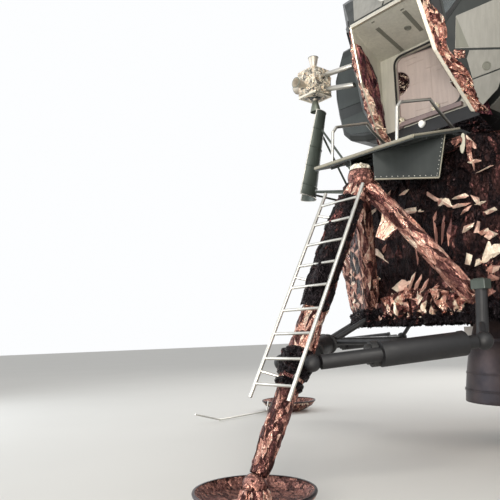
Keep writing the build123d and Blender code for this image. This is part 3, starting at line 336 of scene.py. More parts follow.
class Finish(Enum):
    """Every finish of the lander."""

    BLACK_FOIL = Foil("black_blanket", "black_foil",
                      ((0.0, SOOT), (0.5, UMBER), (0.66, BURGUNDY), (0.80, COPPER), (0.93, CREAM_AND_PAINTED_GLINT)))
    # Painted highlights: the raised folds' cream and rose facets stand for sun glints on the foil
    BRIGHT_FOLD = Foil("painted_glint_fold", "black_foil",
                       ((0.5, (0.16, 0.07, 0.065)), (0.70, COPPER), (0.82, ROSE), (0.93, CREAM_AND_PAINTED_GLINT)),
                       roughness=0.42, metallic=0.5)
    COPPER_BLANKET = Foil("copper_blanket", "copper_foil",
                          ((0.0, SOOT), (0.22, UMBER), (0.45, BURGUNDY), (0.68, COPPER), (0.86, ROSE),
                           (0.96, CREAM_AND_PAINTED_GLINT)))
    AMBER_BLANKET = Foil("amber_blanket", "copper_foil",
                         ((0.0, UMBER), (0.3, BURGUNDY), (0.55, COPPER), (0.78, AMBER), (0.95, CREAM_AND_PAINTED_GLINT)))
    COPPER_WRAP = Foil("copper_wrap", "copper_foil",
                       ((0.0, UMBER), (0.3, BURGUNDY), (0.6, COPPER), (0.85, ROSE), (0.97, CREAM_AND_PAINTED_GLINT)),
                       crease=34.0, crease_depth=0.004)
    SILVER_WRAP = Foil("silver_wrap", "silver_foil",
                       ((0.0, (0.08, 0.075, 0.07)), (0.3, (0.30, 0.28, 0.25)), (0.6, SILVER), (0.9, CREAM_AND_PAINTED_GLINT)),
                       crease=42.0, crease_depth=0.005)
    BLACK_SLEEVE = Foil("black_sleeve", "black_foil",
                        ((0.0, SOOT), (0.7, (0.022, 0.018, 0.02)), (0.9, UMBER), (1.0, BURGUNDY)))
    CREAM_WRAP = Foil("cream_wrap", "silver_foil",
                      ((0.0, (0.35, 0.30, 0.24)), (0.4, (0.72, 0.66, 0.54)), (0.9, (0.90, 0.85, 0.72))),
                      roughness=0.42)
    FOIL_SOLID = Foil("foil_solid", "black_foil", ((0.0, SOOT), (0.7, (0.020, 0.014, 0.015)), (1.0, UMBER)),
                      Source.CELLS, facet_size=30.0)
    COPPER_SOLID = Foil("copper_solid", "copper_foil",
                        ((0.0, UMBER), (0.5, (0.22, 0.10, 0.085)), (1.0, COPPER)), Source.CELLS,
                        facet_size=34.0)
    POCKET_FOIL = Foil("pocket_foil", "black_foil",
                       ((0.0, SOOT), (0.45, UMBER), (0.62, BURGUNDY), (0.78, CREAM_AND_PAINTED_GLINT)),
                       crease=60.0, crease_depth=0.002)
    SILVER_SOLID = Foil("silver_solid", "silver_foil", ((0.0, (0.20, 0.19, 0.17)), (0.5, SILVER), (1.0, CREAM_AND_PAINTED_GLINT)),
                        Source.CELLS, facet_size=16.0)
    LINING = Foil("recess_lining", "copper_foil",
                  ((0.0, (0.03, 0.012, 0.018)), (0.4, (0.10, 0.032, 0.045)), (0.8, (0.26, 0.10, 0.11)),
                   (1.0, COPPER)), roughness=0.34)
    GREY_PANEL = Panel("light_panel", "grey_panel", (0.300, 0.292, 0.262), (0.255, 0.250, 0.228), 0.25, 0.44,
                       speck=0.25)
    # Grey panel of the hatch recess, painted about twice as light as the other grey panels to stand for the
    # ground's light on its ceiling
    RECESS_PANEL = Panel("recess_panel_painted_light", "grey_panel", (0.640, 0.618, 0.533), (0.430, 0.418, 0.362), 0.15, 0.46,
                         speck=0.2)
    HATCH_PANEL = Panel("hatch_panel", "grey_panel", (0.530, 0.440, 0.400), (0.400, 0.335, 0.305), 0.2, 0.46,
                        speck=0.2)
    # Dark grey-green copy of the grey panel: painted shade where it stands for the crew's right side in shadow,
    # plain dark grey on the thruster collars and rack rails
    SHADE_PANEL = Panel("dark_grey_and_painted_shade", "grey_panel", (0.052, 0.062, 0.058), (0.026, 0.032, 0.030), 0.2, 0.4)
    DARK_PANEL = Panel("dark_panel", "grey_panel", (0.030, 0.034, 0.032), (0.014, 0.016, 0.016), 0.2, 0.42)
    GREEN_GREY = Panel("green_grey", "grey_paint", (0.085, 0.102, 0.088), (0.045, 0.056, 0.049), 0.3, 0.42)
    # Near-black grey-green porch plate: painted shade, for the porch seen from below in its own shadow
    PORCH_PLATE = Panel("porch_plate_painted_shade", "grey_paint", (0.036, 0.042, 0.040), (0.018, 0.022, 0.021), 0.3, 0.4)
    WHITE_PAINT = Panel("white_enamel", "white_paint", (0.820, 0.810, 0.780), (0.700, 0.690, 0.660), 0.0, 0.5,
                        speck=0.15)
    BLACK_PAINT = Panel("black_enamel", "black_paint", (0.009, 0.0085, 0.0095), (0.005, 0.005, 0.006), 0.0,
                        0.55, dimple=0.002)
    CABIN_PAINT = Panel("cabin_enamel", "cabin_paint", (0.300, 0.320, 0.310), (0.220, 0.240, 0.235), 0.0, 0.6)
    SEAL = Panel("black_seal", "black_paint", (0.020, 0.020, 0.020), (0.010, 0.010, 0.010), 0.0, 0.6)
    STRIPE = Panel("ceiling_stripe", "grey_panel", (0.200, 0.200, 0.165), (0.150, 0.152, 0.128), 0.2, 0.45)
    SILL = Panel("hatch_sill", "grey_panel", (0.330, 0.250, 0.235), (0.200, 0.150, 0.145), 0.3, 0.42, speck=0.3)
    PORCH_EDGE = Panel("porch_edge", "grey_paint", (0.330, 0.310, 0.240), (0.240, 0.225, 0.180), 0.3, 0.42,
                       speck=0.2)
    CREAM_PLATE = Panel("cream_plate", "white_paint", (0.640, 0.620, 0.500), (0.480, 0.470, 0.380), 0.1, 0.46,
                        speck=0.2)
    TUBE = Alloy("bare_tube", "bare_metal", (0.50, 0.49, 0.46), (0.66, 0.64, 0.58), 0.38)
    EDGE_TRIM = Alloy("edge_trim", "bare_metal", (0.78, 0.72, 0.60), (0.90, 0.84, 0.70), 0.36)
    BELL = Alloy("bell_alloy", "engine_metal", (0.045, 0.040, 0.045), (0.090, 0.070, 0.070), 0.42, 0.9,
                 (1.0, 1.0, 6.0))
    THRUSTER_LIGHT = Alloy("thruster_light", "engine_metal", (0.52, 0.47, 0.40), (0.66, 0.60, 0.52), 0.4, 0.6)
    THRUSTER_DARK = Alloy("thruster_dark", "engine_metal", (0.15, 0.17, 0.14), (0.22, 0.24, 0.20), 0.42, 0.6)
    WINDOW = Glazing("cabin_glass", "window_glass", (0.30, 0.34, 0.36), 0.75, 0.02)
    # Lamp lens with a faint painted glow from its emission
    LENS = Glazing("lamp_lens", "lamp_glass", (0.92, 0.90, 0.84), 0.15, 0.25, 0.15)

    def made(self) -> bpy.types.Material:
        """Return the finish's material, made on first use."""
        return bpy.data.materials.get(self.value.name) or self.value.material()


@dataclass(frozen=True)
class Spot:
    """A plane on the object: its origin, the way across and the way up along it."""

    origin: Vector
    across: Vector
    up: Vector

    @property
    def out(self) -> Vector:
        """Unit vector that points away from the surface."""
        return self.across.cross(self.up).normalized()

    def at(self, u: float, v: float, height: float = 0.0) -> Vector:
        """Return the point at u across and v up, raised by a height."""
        return self.origin + self.across * u + self.up * v + self.out * height

    def of(self, point: Vector) -> Pair:
        """Return a point's place across and up on the plane."""
        return (point - self.origin).dot(self.across), (point - self.origin).dot(self.up)

    def shifted(self, u: float, v: float, height: float = 0.0) -> "Spot":
        """Return the same plane with its origin moved across, up and outward."""
        return Spot(self.at(u, v, height), self.across, self.up)


def level(point: Vector) -> Spot:
    """Return the level plane at a point, which faces up."""
    return Spot(point, LEFT, AFT)


def facing_down(point: Vector) -> Spot:
    """Return the level plane at a point, which faces down."""
    return Spot(point, LEFT, -AFT)


def facing_front(y: float) -> Spot:
    """Return the upright plane across the vehicle at a place along it, which faces the front."""
    return Spot(AFT * y, LEFT, UP)


@dataclass
class Soup:
    """Points and faces of a joined mesh, with a shade for each face. What adds to it returns it again."""

    points: list[Vector] = field(default_factory=list)
    faces: list[tuple[int, ...]] = field(default_factory=list)
    shades: list[float] = field(default_factory=list)

    def add(self, points: Iterable[Vector], faces: Iterable[Sequence[int]], shade: float = 0.5) -> "Soup":
        """Join more points and faces, all in one shade."""
        added = list(faces)
        return self.join(Soup(list(points), added, [shade] * len(added)))

    def join(self, other: "Soup") -> "Soup":
        """Join another mesh with its own shades.

        Args:
            other: The mesh that is taken in.

        Returns:
            This mesh.
        """
        start = len(self.points)
        self.points.extend(other.points)
        self.faces.extend(tuple(start + i for i in face) for face in other.faces)
        self.shades.extend(other.shades)
        return self

    def prism(self, low: Sequence[Vector], high: Sequence[Vector], shade: float = 0.5) -> "Soup":
        """Add a closed body between two rings of as many points.

        Args:
            low: Corners of the lower end.
            high: Corners of the upper end, in the same order.
            shade: Shade of its faces.

        Returns:
            This mesh.
        """
        n = len(low)
        faces = [(i, (i + 1) % n, n + (i + 1) % n, n + i) for i in range(n)]
        return self.add([*low, *high], [*faces, tuple(reversed(range(n))), tuple(range(n, 2 * n))], shade)

    def bar(self, start: Vector, end: Vector, radius: float, sides: int = 10) -> "Soup":
        """Add a straight round bar with closed ends.

        Args:
            start: Middle of one end.
            end: Middle of the other end.
            radius: Radius.
            sides: Number of sides.

        Returns:
            This mesh.
        """
        first, second = square_to((end - start).normalized())
        angles = [2 * pi * i / sides for i in range(sides)]
        ring = [(first * cos(a) + second * sin(a)) * radius for a in angles]
        return self.prism([start + r for r in ring], [end + r for r in ring])

    def slab(self, spot: Spot, outline: Outline, low: float, high: float) -> "Soup":
        """Add a flat slab on a plane of the object.

        Args:
            spot: Plane that it lies on.
            outline: Corners, anticlockwise.
            low: Height of its back.
            high: Height of its front.

        Returns:
            This mesh.
        """
        return self.prism([spot.at(u, v, low) for u, v in outline], [spot.at(u, v, high) for u, v in outline])

    def lathe(self, spot: Spot, profile: Outline, sides: int = 32) -> "Soup":
        """Add a surface turned round a plane's outward axis.

        Args:
            spot: Plane whose outward way is the axis.
            profile: Radius and height of each point.
            sides: Number of sides.

        Returns:
            This mesh.
        """
        points = [spot.at(r * cos(2 * pi * k / sides), r * sin(2 * pi * k / sides), h)
                  for r, h in profile for k in range(sides)]
        faces = []
        for row in range(0, (len(profile) - 1) * sides, sides):
            for k in range(sides):
                after = (k + 1) % sides
                faces.append((row + k, row + after, row + sides + after, row + sides + k))
        return self.add(points, faces)

    def ring(self, spot: Spot, outer: Outline, inner: Outline, low: float, high: float) -> "Soup":
        """Add a flat frame between two outlines of as many corners.

        Args:
            spot: Plane that it lies on.
            outer: Outer corners, anticlockwise.
            inner: Inner corners, in step with the outer ones.
            low: Height of its back.
            high: Height of its front.

        Returns:
            This mesh.
        """
        n = len(outer)
        points = [spot.at(u, v, h) for h in (low, high) for line in (outer, inner) for u, v in line]
        faces = []
        for i in range(n):
            j = (i + 1) % n
            faces += [(2 * n + i, 2 * n + j, 3 * n + j, 3 * n + i), (j, i, n + i, n + j),
                      (i, j, 2 * n + j, 2 * n + i), (n + j, n + i, 3 * n + i, 3 * n + j)]
        return self.add(points, faces)

    def ribbon(self, first: Sequence[Vector], second: Sequence[Vector], side: int) -> "Soup":
        """Add a surface between two lines of points.

        Args:
            first: One line.
            second: The other line.
            side: -1 turns the faces round, for the crew's right.

        Returns:
            This mesh.
        """
        n = len(first)
        faces = [(i, n + i, n + i + 1, i + 1)[::side] for i in range(n - 1)]
        return self.add([*first, *second], faces)

    def rivets(self, spot: Spot, start: Pair, end: Pair, pitch: float, radius: float = 0.005) -> "Soup":
        """Add a row of low round rivet heads on a plane of the object.

        Args:
            spot: Plane that they lie on.
            start: Place of the first.
            end: Place of the last.
            pitch: Distance between them.
            radius: Radius of a head.

        Returns:
            This mesh.
        """
        count = max(1, round(hypot(end[0] - start[0], end[1] - start[1]) / pitch))
        for i in range(count + 1):
            u = start[0] + (end[0] - start[0]) * i / count
            v = start[1] + (end[1] - start[1]) * i / count
            heads = [spot.at(u + size * radius * cos(k * pi / 3), v + size * radius * sin(k * pi / 3), height)
                     for size, height in ((1.0, 0.0005), (0.6, 0.45 * radius)) for k in range(6)]
            sides = [(k, (k + 1) % 6, 6 + (k + 1) % 6, 6 + k) for k in range(6)]
            self.add(heads, [*sides, tuple(range(6, 12))])
        return self

    def studs(self, spot: Spot, outline: Outline, inset: float, pitch: float) -> "Soup":
        """Add rivets round an outline.

        Args:
            spot: Plane that they lie on.
            outline: Corners of the plate.
            inset: How far they are drawn in from its corners.
            pitch: Distance between them.

        Returns:
            This mesh.
        """
        inner = shrunk(outline, inset)
        for start, end in zip(inner, inner[1:] + inner[:1]):
            if hypot(end[0] - start[0], end[1] - start[1]) > pitch:
                self.rivets(spot, start, end, pitch, 0.0045)
        return self

    def piece(self, name: str, finish: Finish, body: str = "vehicle", smooth: bool = False,
              thickness: float = 0.0, bevel: float = 0.0) -> None:
        """Make the mesh a piece that rides on a body.

        Args:
            name: Name of the piece.
            finish: Finish of the piece.
            body: CAD body that it rides on.
            smooth: Whether its faces are shaded smooth.
            thickness: Thickness of a loose sheet, added towards its back.
            bevel: Width of the rounding on its sharp edges.
        """
        mesh = bpy.data.meshes.new(name)
        mesh.from_pydata(self.points, [], self.faces)
        mesh.update()
        mesh.attributes.new("facet", "FLOAT", "FACE").data.foreach_set("value", self.shades)
        if smooth:
            mesh.polygons.foreach_set("use_smooth", [True] * len(mesh.polygons))
        mesh.materials.append(finish.made())
        piece = bpy.data.objects.new(name, mesh)
        bpy.context.scene.collection.objects.link(piece)
        if thickness:
            solid = piece.modifiers.new("thickness", "SOLIDIFY")
            solid.thickness = thickness
            solid.offset = -1.0
        if bevel:
            round_off(piece, bevel)
        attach(piece, body)
        log.info("%s: %d faces on %s", name, len(self.faces), body)


def round_off(piece: bpy.types.Object, width: float) -> bpy.types.Modifier:
    """Round a piece's sharp edges and return the modifier.

    Args:
        piece: The object.
        width: Width of the bevel.

    Returns:
        The modifier.
    """
    rounding = piece.modifiers.new("edges", "BEVEL")
    rounding.width = width
    rounding.segments = 2
    rounding.limit_method = "ANGLE"
    return rounding


def square_to(way: Vector) -> tuple[Vector, Vector]:
    """Return two ways that are square to a way and to each other."""
    first = way.cross(UP if abs(way.z) < 0.9 else LEFT).normalized()
    return first, way.cross(first)


def box(left: float, low: float, right: float, high: float) -> list[Pair]:
    """Return a rectangle's outline, anticlockwise."""
    return [(left, low), (right, low), (right, high), (left, high)]


def inside(point: Pair, outline: Outline, margin: float) -> bool:
    """Say whether a point lies inside a convex outline by a margin.

    Args:
        point: Point to test.
        outline: Corners, anticlockwise.
        margin: Least distance to every side.

    Returns:
        Whether the point is inside.
    """
    for (ax, ay), (bx, by) in zip(outline, [*outline[1:], outline[0]]):
        if ((bx - ax) * (point[1] - ay) - (by - ay) * (point[0] - ax)) / hypot(bx - ax, by - ay) < margin:
            return False
    return True


@dataclass(frozen=True)
class Crumple:
    """How a foil is crumpled: its facets' size and depth, how far they are drawn out, and the shades."""

    cell: float
    depth: float
    stretch: float = 1.7
    fine: float = 0.3
    rounds: int = 2
    seed: int = 1

    def flat(self, outline: Outline, tone: Tone) -> tuple[list, list, list]:
        """Crumple a convex outline.

        Args:
            outline: Corners in metres, anticlockwise.
            tone: Mean shade at a place, from 0 dark to 1 bright.

        Returns:
            Points as (u, v, height), triangles, and a shade for each triangle.
        """
        rng = random.Random(self.seed)
        left, bottom = min(u for u, _ in outline), min(v for _, v in outline)
        tall = self.cell * self.stretch
        points: list[Pair] = []
        for (ax, ay), (bx, by) in zip(outline, [*outline[1:], outline[0]]):
            length = hypot(bx - ax, by - ay)
            count = max(1, round(length / (self.cell + (tall - self.cell) * (abs(by - ay) / length))))
            for i in range(count):
                share = (i + (rng.uniform(-0.25, 0.25) if i else 0.0)) / count
                points.append((ax + (bx - ax) * share, ay + (by - ay) * share))
        rim = len(points)
        for row in range(math.ceil((max(v for _, v in outline) - bottom) / tall)):
            for column in range(math.ceil((max(u for u, _ in outline) - left) / self.cell)):
                u = left + (column + 0.5 + rng.uniform(-0.48, 0.48)) * self.cell
                v = bottom + (row + 0.5 + rng.uniform(-0.48, 0.48)) * tall
                if inside((u, v), outline, 0.3 * self.cell):
                    points.append((u, v))
        squeezed = [Vector((u, v / self.stretch)) for u, v in points]
        places, _, triangles, origins, _, _ = geometry.delaunay_2d_cdt(squeezed, [], [], 0, 1e-6)
        corners = []
        for place, origin in zip(places, origins):
            on_rim = bool(origin) and origin[0] < rim
            height = 0.0 if on_rim else self.depth * rng.random() ** 0.8
            corners.append((place.x, place.y * self.stretch, height))
        faces = [tuple(t) for t in triangles]
        shades = []
        for a, b, c in faces:
            u = (corners[a][0] + corners[b][0] + corners[c][0]) / 3
            v = (corners[a][1] + corners[b][1] + corners[c][1]) / 3
            shades.append(min(1.0, max(0.0, rng.random() * 0.9 + tone(u, v) - 0.45)))
        for step in range(self.rounds):
            corners, faces, shades = self.divide(corners, faces, shades, rng, 0.5 ** step)
        return corners, faces, shades

    def divide(self, corners: list, faces: list, shades: list, rng: random.Random,
               share: float) -> tuple[list, list, list]:
        """Cut each triangle in four and move the new corners a little.

        Args:
            corners: Points as (u, v, height).
            faces: Triangles.
            shades: Shade of each triangle.
            rng: Random source.
            share: Share of the first round's movement.

        Returns:
            The finer points, triangles and shades.
        """
        corners = list(corners)
        counts: dict[tuple[int, int], int] = {}
        for a, b, c in faces:
            for pair in ((a, b), (b, c), (c, a)):
                key = (min(pair), max(pair))
                counts[key] = counts.get(key, 0) + 1
        middles: dict[tuple[int, int], int] = {}
        for (a, b), uses in counts.items():
            (au, av, ah), (bu, bv, bh) = corners[a], corners[b]
            reach = hypot(au - bu, av - bv) * 0.14 * share
            move = 0.0 if uses == 1 else self.depth * self.fine * share * rng.uniform(-1, 1)
            slip = (0.0, 0.0) if uses == 1 else (rng.uniform(-reach, reach), rng.uniform(-reach, reach))
            middles[(a, b)] = middles[(b, a)] = len(corners)
            corners.append(((au + bu) / 2 + slip[0], (av + bv) / 2 + slip[1], max(0.0, (ah + bh) / 2 + move)))
        finer, tones = [], []
        for (a, b, c), shade in zip(faces, shades):
            ab, bc, ca = middles[(a, b)], middles[(b, c)], middles[(c, a)]
            finer += [(a, ab, ca), (ab, b, bc), (ca, bc, c), (ab, bc, ca)]
            tones += [min(1.0, max(0.0, shade + rng.gauss(0.0, 0.07))) for _ in range(4)]
        return corners, finer, tones

    def sheet(self, spot: Spot, outline: Outline, level: float | Tone, proud: float = FOIL_PROUD) -> Soup:
        """Lay a crumpled outline on a plane of the object.

        Args:
            spot: Plane that it lies on.
            outline: Corners, anticlockwise.
            level: Mean shade, one for all or by the place.
            proud: Least height off the plane.

        Returns:
            The sheet's mesh.
        """
        corners, faces, shades = self.flat(outline, level if callable(level) else lambda u, v: level)
        return Soup([spot.at(u, v, proud + h) for u, v, h in corners], faces, shades)

    def bent(self, wide: float, tall: float, level: float,
             place: Callable[[float, float, float], Vector]) -> Soup:
        """Bend a crumpled rectangle.

        Args:
            wide: Its width.
            tall: Its height.
            level: Mean shade.
            place: Where it puts a point, by its place across and up and its height.

        Returns:
            The foil's mesh.
        """
        corners, faces, shades = self.flat(box(0, 0, wide, tall), lambda u, v: level)
        return Soup([place(*corner) for corner in corners], faces, shades)

    def sleeve(self, start: Vector, end: Vector, radii: Pair, level: float, turn: float = 0.0,
               arc: float = 2 * pi) -> Soup:
        """Wrap a crumpled sleeve round a strut.

        Args:
            start: One end of the strut's axis.
            end: The other end.
            radii: Radius at both ends.
            level: Mean shade.
            turn: Angle at which the sleeve's seam lies.
            arc: Angle that the sleeve covers.

        Returns:
            The sleeve's mesh.
        """
        axis = end - start
        first, second = square_to(axis.normalized())
        mean = sum(radii) / 2

        def place(u: float, v: float, h: float) -> Vector:
            """Return where a point of the flat foil goes.

            Args:
                u: Its place across.
                v: Its place up.
                h: Its height.

            Returns:
                The point.
            """
            share = min(1.0, max(0.0, v / axis.length))
            radius = radii[0] + (radii[1] - radii[0]) * share + h
            angle = turn + u / mean
            return start + axis * share + first * (radius * cos(angle)) + second * (radius * sin(angle))

        return self.bent(arc * mean, axis.length, level, place)

    def between(self, first: Sequence[Vector], second: Sequence[Vector], out: Vector, level: float) -> Soup:
        """Stretch a crumpled strip between two lines of points, the second right of the first.

        Args:
            first: One line, from bottom to top.
            second: The other line, from bottom to top.
            out: The way that the strip faces.
            level: Mean shade.

        Returns:
            The strip's mesh.
        """
        tall = run_length(first)
        wide = sum((b - a).length for a, b in zip(first, second)) / len(first)
        normal = out.normalized()
        return self.bent(wide, tall, level, lambda u, v, h: run_along(first, v / tall).lerp(
            run_along(second, v / tall), u / wide) + normal * h)

    def turned(self, spot: Spot, profile: Outline, level: float) -> Soup:
        """Turn crumpled foil round a plane's outward axis.

        Args:
            spot: Plane whose outward way is the axis.
            profile: Radius and height of each point.
            level: Mean shade.

        Returns:
            The foil's mesh.
        """
        line = [Vector((r, 0, z)) for r, z in profile]
        tall = run_length(line)
        wide = 2 * pi * max(r for r, _ in profile)

        def place(u: float, v: float, h: float) -> Vector:
            """Return where a point of the flat foil goes.

            Args:
                u: Its place across.
                v: Its place up.
                h: Its height.

            Returns:
                The point.
            """
            share = v / tall
            step = run_along(line, min(1.0, share + 0.01)) - run_along(line, max(0.0, share - 0.01))
            point = run_along(line, share) + Vector((step.z, 0, -step.x)).normalized() * h
            angle = 2 * pi * u / wide
            return spot.at(point.x * cos(angle), point.x * sin(angle), point.z)

        return self.bent(wide, tall, level, place)


def run_length(line: Sequence[Vector]) -> float:
    """Return the length of a line of points."""
    return sum((b - a).length for a, b in zip(line, line[1:]))


def run_along(line: Sequence[Vector], share: float) -> Vector:
    """Return the point at a share of a line's length.

    Args:
        line: Points of the line.
        share: Share of its length.

    Returns:
        The point.
    """
    left = min(1.0, max(0.0, share)) * run_length(line)
    for a, b in zip(line, line[1:]):
        length = (b - a).length
        if left <= length:
            return a.lerp(b, left / length if length else 0.0)
        left -= length
    return line[-1].copy()


def leg_point(azimuth: float, out: float, side: float, up: float) -> Vector:
    """Return the point out along an azimuth, side across it to the left, and up."""
    c, s = cos(azimuth), sin(azimuth)
    return Vector((out * c - side * s, out * s + side * c, up))


def rounded(left: float, low: float, right: float, high: float, radius: float) -> list[Pair]:
    """Return a rectangle's outline with rounded corners, anticlockwise.

    Args:
        left: Left edge.
        low: Lower edge.
        right: Right edge.
        high: Upper edge.
        radius: Radius of its corners.

    Returns:
        Its points.
    """
    outline = []
    for turn, (u, v) in enumerate(box(left + radius, low + radius, right - radius, high - radius)[1:]
                                  + [(left + radius, low + radius)]):
        for k in range(7):
            angle = pi / 2 * (turn - 1 + k / 6)
            outline.append((u + radius * cos(angle), v + radius * sin(angle)))
    return outline


def clipped(outline: Outline, low: float, high: float) -> list[Pair]:
    """Return the part of a convex outline between two heights.

    Args:
        outline: Its corners, anticlockwise.
        low: Lower height.
        high: Upper height.

    Returns:
        The corners of the part.
    """
    for edge, keep in ((low, 1), (high, -1)):
        kept = []
        for (au, av), (bu, bv) in zip(outline, [*outline[1:], outline[0]]):
            a_in, b_in = keep * (av - edge) >= 0, keep * (bv - edge) >= 0
            if a_in:
                kept.append((au, av))
            if a_in != b_in:
                kept.append((au + (bu - au) * ((edge - av) / (bv - av)), edge))
        outline = kept
    return list(outline)


def shrunk(outline: Outline, inset: float) -> list[Pair]:
    """Return an outline with its corners drawn towards its middle, or away from it for less than nought.

    Args:
        outline: Its corners.
        inset: How far each is drawn in, less than nought for out.

    Returns:
        The new corners.
    """
    mu = sum(u for u, _ in outline) / len(outline)
    mv = sum(v for _, v in outline) / len(outline)
    shares = [1.0 - 1.4 * inset / hypot(u - mu, v - mv) for u, v in outline]
    return [(mu + (u - mu) * share, mv + (v - mv) * share) for (u, v), share in zip(outline, shares)]


@dataclass
class Plating:
    """Thin plates with rivets round their edges, joined into one piece for each name."""

    thick: float
    bevel: float = 0.0015
    plates: dict[str, Soup] = field(default_factory=dict)
    heads: Soup = field(default_factory=Soup)

    def lay(self, name: str, spot: Spot, outline: Outline, inset: float = 0.018, pitch: float = 0.075) -> None:
        """Lay a plate on a plane of the object.

        Args:
            name: Name of the piece that it joins.
            spot: Plane that it lies on.
            outline: Its corners, anticlockwise.
            inset: How far its rivets are drawn in from its corners.
            pitch: Distance between them.
        """
        self.plates.setdefault(name, Soup()).slab(spot, outline, 0.001, self.thick)
        self.heads.studs(spot.shifted(0, 0, self.thick), outline, inset, pitch)

    def pieces(self, rivets: str, finish: Finish, **finishes: Finish) -> None:
        """Make the pieces.

        Args:
            rivets: Name of the rivets' piece.
            finish: Finish of the rivets, and of every piece that isn't named next.
            finishes: Finish of the pieces that differ.
        """
        for name, plates in self.plates.items():
            plates.piece(name, finishes.get(name, finish), bevel=self.bevel)
        self.heads.piece(rivets, finish)


def face_spot(side: int, up: float) -> Spot:
    """Return the plane of a slanted front face, or of its lower part below the bend.

    Args:
        side: 1 on the crew's left, -1 on their right.
        up: Height that says which part.

    Returns:
        The plane, out away from the cabin.
    """
    upper = up > FACE_BEND
    normal = Vector((side * 1.25, -1.0, -0.22 if upper else -0.5)).normalized()
    across = Vector((1.0, side * 1.25, 0.0)).normalized()
    origin = Vector((side * 0.43, -2.34, 4.68)) if upper else Vector((side * 0.43, -2.223, FACE_BEND))
    return Spot(origin, across, normal.cross(across))


def on_face(side: int, across: float, up: float, proud: float = 0.0) -> Vector:
    """Return the point of a slanted front face at a place across the cabin and a height.

    Args:
        side: 1 on the crew's left, -1 on their right.
        across: Place across the cabin.
        up: Height.
        proud: Height off the face.

    Returns:
        The point.
    """
    if up > FACE_BEND:
        deep = -2.34 + 1.25 * (abs(across) - 0.43) + 0.22 * (4.68 - up)
    else:
        deep = -2.223 + 1.25 * (abs(across) - 0.43) + 0.5 * (FACE_BEND - up)
    return Vector((across, deep, up)) + face_spot(side, up).out * proud


@dataclass(frozen=True)
class Studio:
    """Pale floor, soft lamps and the camera at the photograph's viewing angle."""

    camera_place: Colour = (3.5727, -7.1532, 1.3355)
    yaw: float = 0.8895
    pitch: float = 0.1461
    roll: float = -0.0285
    focal_px: float = 580.6
    image_px: float = 500.0
    sensor_mm: float = 36.0
    floor_half: float = 60.0
    world_level: float = 0.62
    backdrop_level: float = 1.0
    aim: Colour = (0.0, -0.8, 3.0)

    def build(self) -> None:
        """Make the floor, the world, the lamps and the camera."""
        self.floor()
        self.world()
        self.lamps()
        self.camera()

    def floor(self) -> None:
        """Make the plain pale floor."""
        mesh = bpy.data.meshes.new("floor")
        corners = box(-self.floor_half, -self.floor_half, self.floor_half, self.floor_half)
        mesh.from_pydata([(x, y, 0) for x, y in corners], [], [(0, 1, 2, 3)])
        shader = Shader("floor")
        shader.set(Base_Color=shader.mix(shader.noise(0.5, 2.0), (0.66, 0.65, 0.62), (0.70, 0.69, 0.66)),
                   Roughness=0.9)
        mesh.materials.append(shader.material)
        floor = bpy.data.objects.new("floor", mesh)
        bpy.context.scene.collection.objects.link(floor)

    def world(self) -> None:
        """Make the even pale surroundings, white where they are seen directly, mirrored or through glass."""
        world = bpy.data.worlds.new("studio")
        world.use_nodes = True
        nodes, links = world.node_tree.nodes, world.node_tree.links
        background = nodes["Background"]
        background.inputs["Color"].default_value = (0.98, 0.99, 1.0, 1.0)
        path, strength = nodes.new("ShaderNodeLightPath"), nodes.new("ShaderNodeMapRange")
        strength.inputs["To Min"].default_value = self.world_level
        strength.inputs["To Max"].default_value = self.backdrop_level
        seen = path.outputs["Is Camera Ray"]
        for ray in ("Is Glossy Ray", "Is Transmission Ray"):
            either = nodes.new("ShaderNodeMath")
            either.operation = "MAXIMUM"
            links.new(seen, either.inputs[0])
            links.new(path.outputs[ray], either.inputs[1])
            seen = either.outputs["Value"]
        links.new(seen, strength.inputs["Value"])
        links.new(strength.outputs["Result"], background.inputs["Strength"])
        bpy.context.scene.world = world

    def lamps(self) -> None:
        """Make the key, fill, rim and bounce lamps, each aimed at the middle of the vehicle."""
        # Name, place, size, spread in degrees, watts and colour
        rows = (("key", (9.0, -9.0, 11.0), 5.0, 180.0, 800.0, (1.0, 0.96, 0.88)),
                ("fill", (-9.0, -8.0, 4.0), 7.0, 180.0, 420.0, (0.90, 0.95, 1.0)),
                ("rim", (-5.0, 10.0, 9.0), 5.0, 180.0, 700.0, (1.0, 0.98, 0.95)),
                ("bounce", (4.2, -10.5, 2.1), 3.4, 80.0, 165.0, (1.0, 0.95, 0.88)))
        for name, place, size, spread, watts, colour in rows:
            lamp = bpy.data.lights.new(name, "AREA")
            lamp.size = size
            lamp.spread = math.radians(spread)
            lamp.energy = watts
            lamp.color = colour
            holder = bpy.data.objects.new(name, lamp)
            holder.location = place
            holder.rotation_euler = (Vector(self.aim) - Vector(place)).to_track_quat("-Z", "Y").to_euler()
            bpy.context.scene.collection.objects.link(holder)

    def camera(self) -> None:
        """Make the camera with the photograph's place, way and field of view."""
        lens = bpy.data.cameras.new("camera")
        lens.sensor_width = self.sensor_mm
        lens.lens = self.focal_px / self.image_px * self.sensor_mm
        lens.clip_end = 300.0
        holder = bpy.data.objects.new("camera", lens)
        forward = Vector((-sin(self.yaw) * cos(self.pitch), cos(self.yaw) * cos(self.pitch), sin(self.pitch)))
        right = Vector((cos(self.yaw), sin(self.yaw), 0))
        above = right.cross(forward)
        x = right * cos(self.roll) + above * sin(self.roll)
        y = above * cos(self.roll) - right * sin(self.roll)
        matrix = Matrix((x, y, -forward)).transposed().to_4x4()
        matrix.translation = Vector(self.camera_place)
        holder.matrix_world = matrix
        bpy.context.scene.collection.objects.link(holder)
        bpy.context.scene.camera = holder


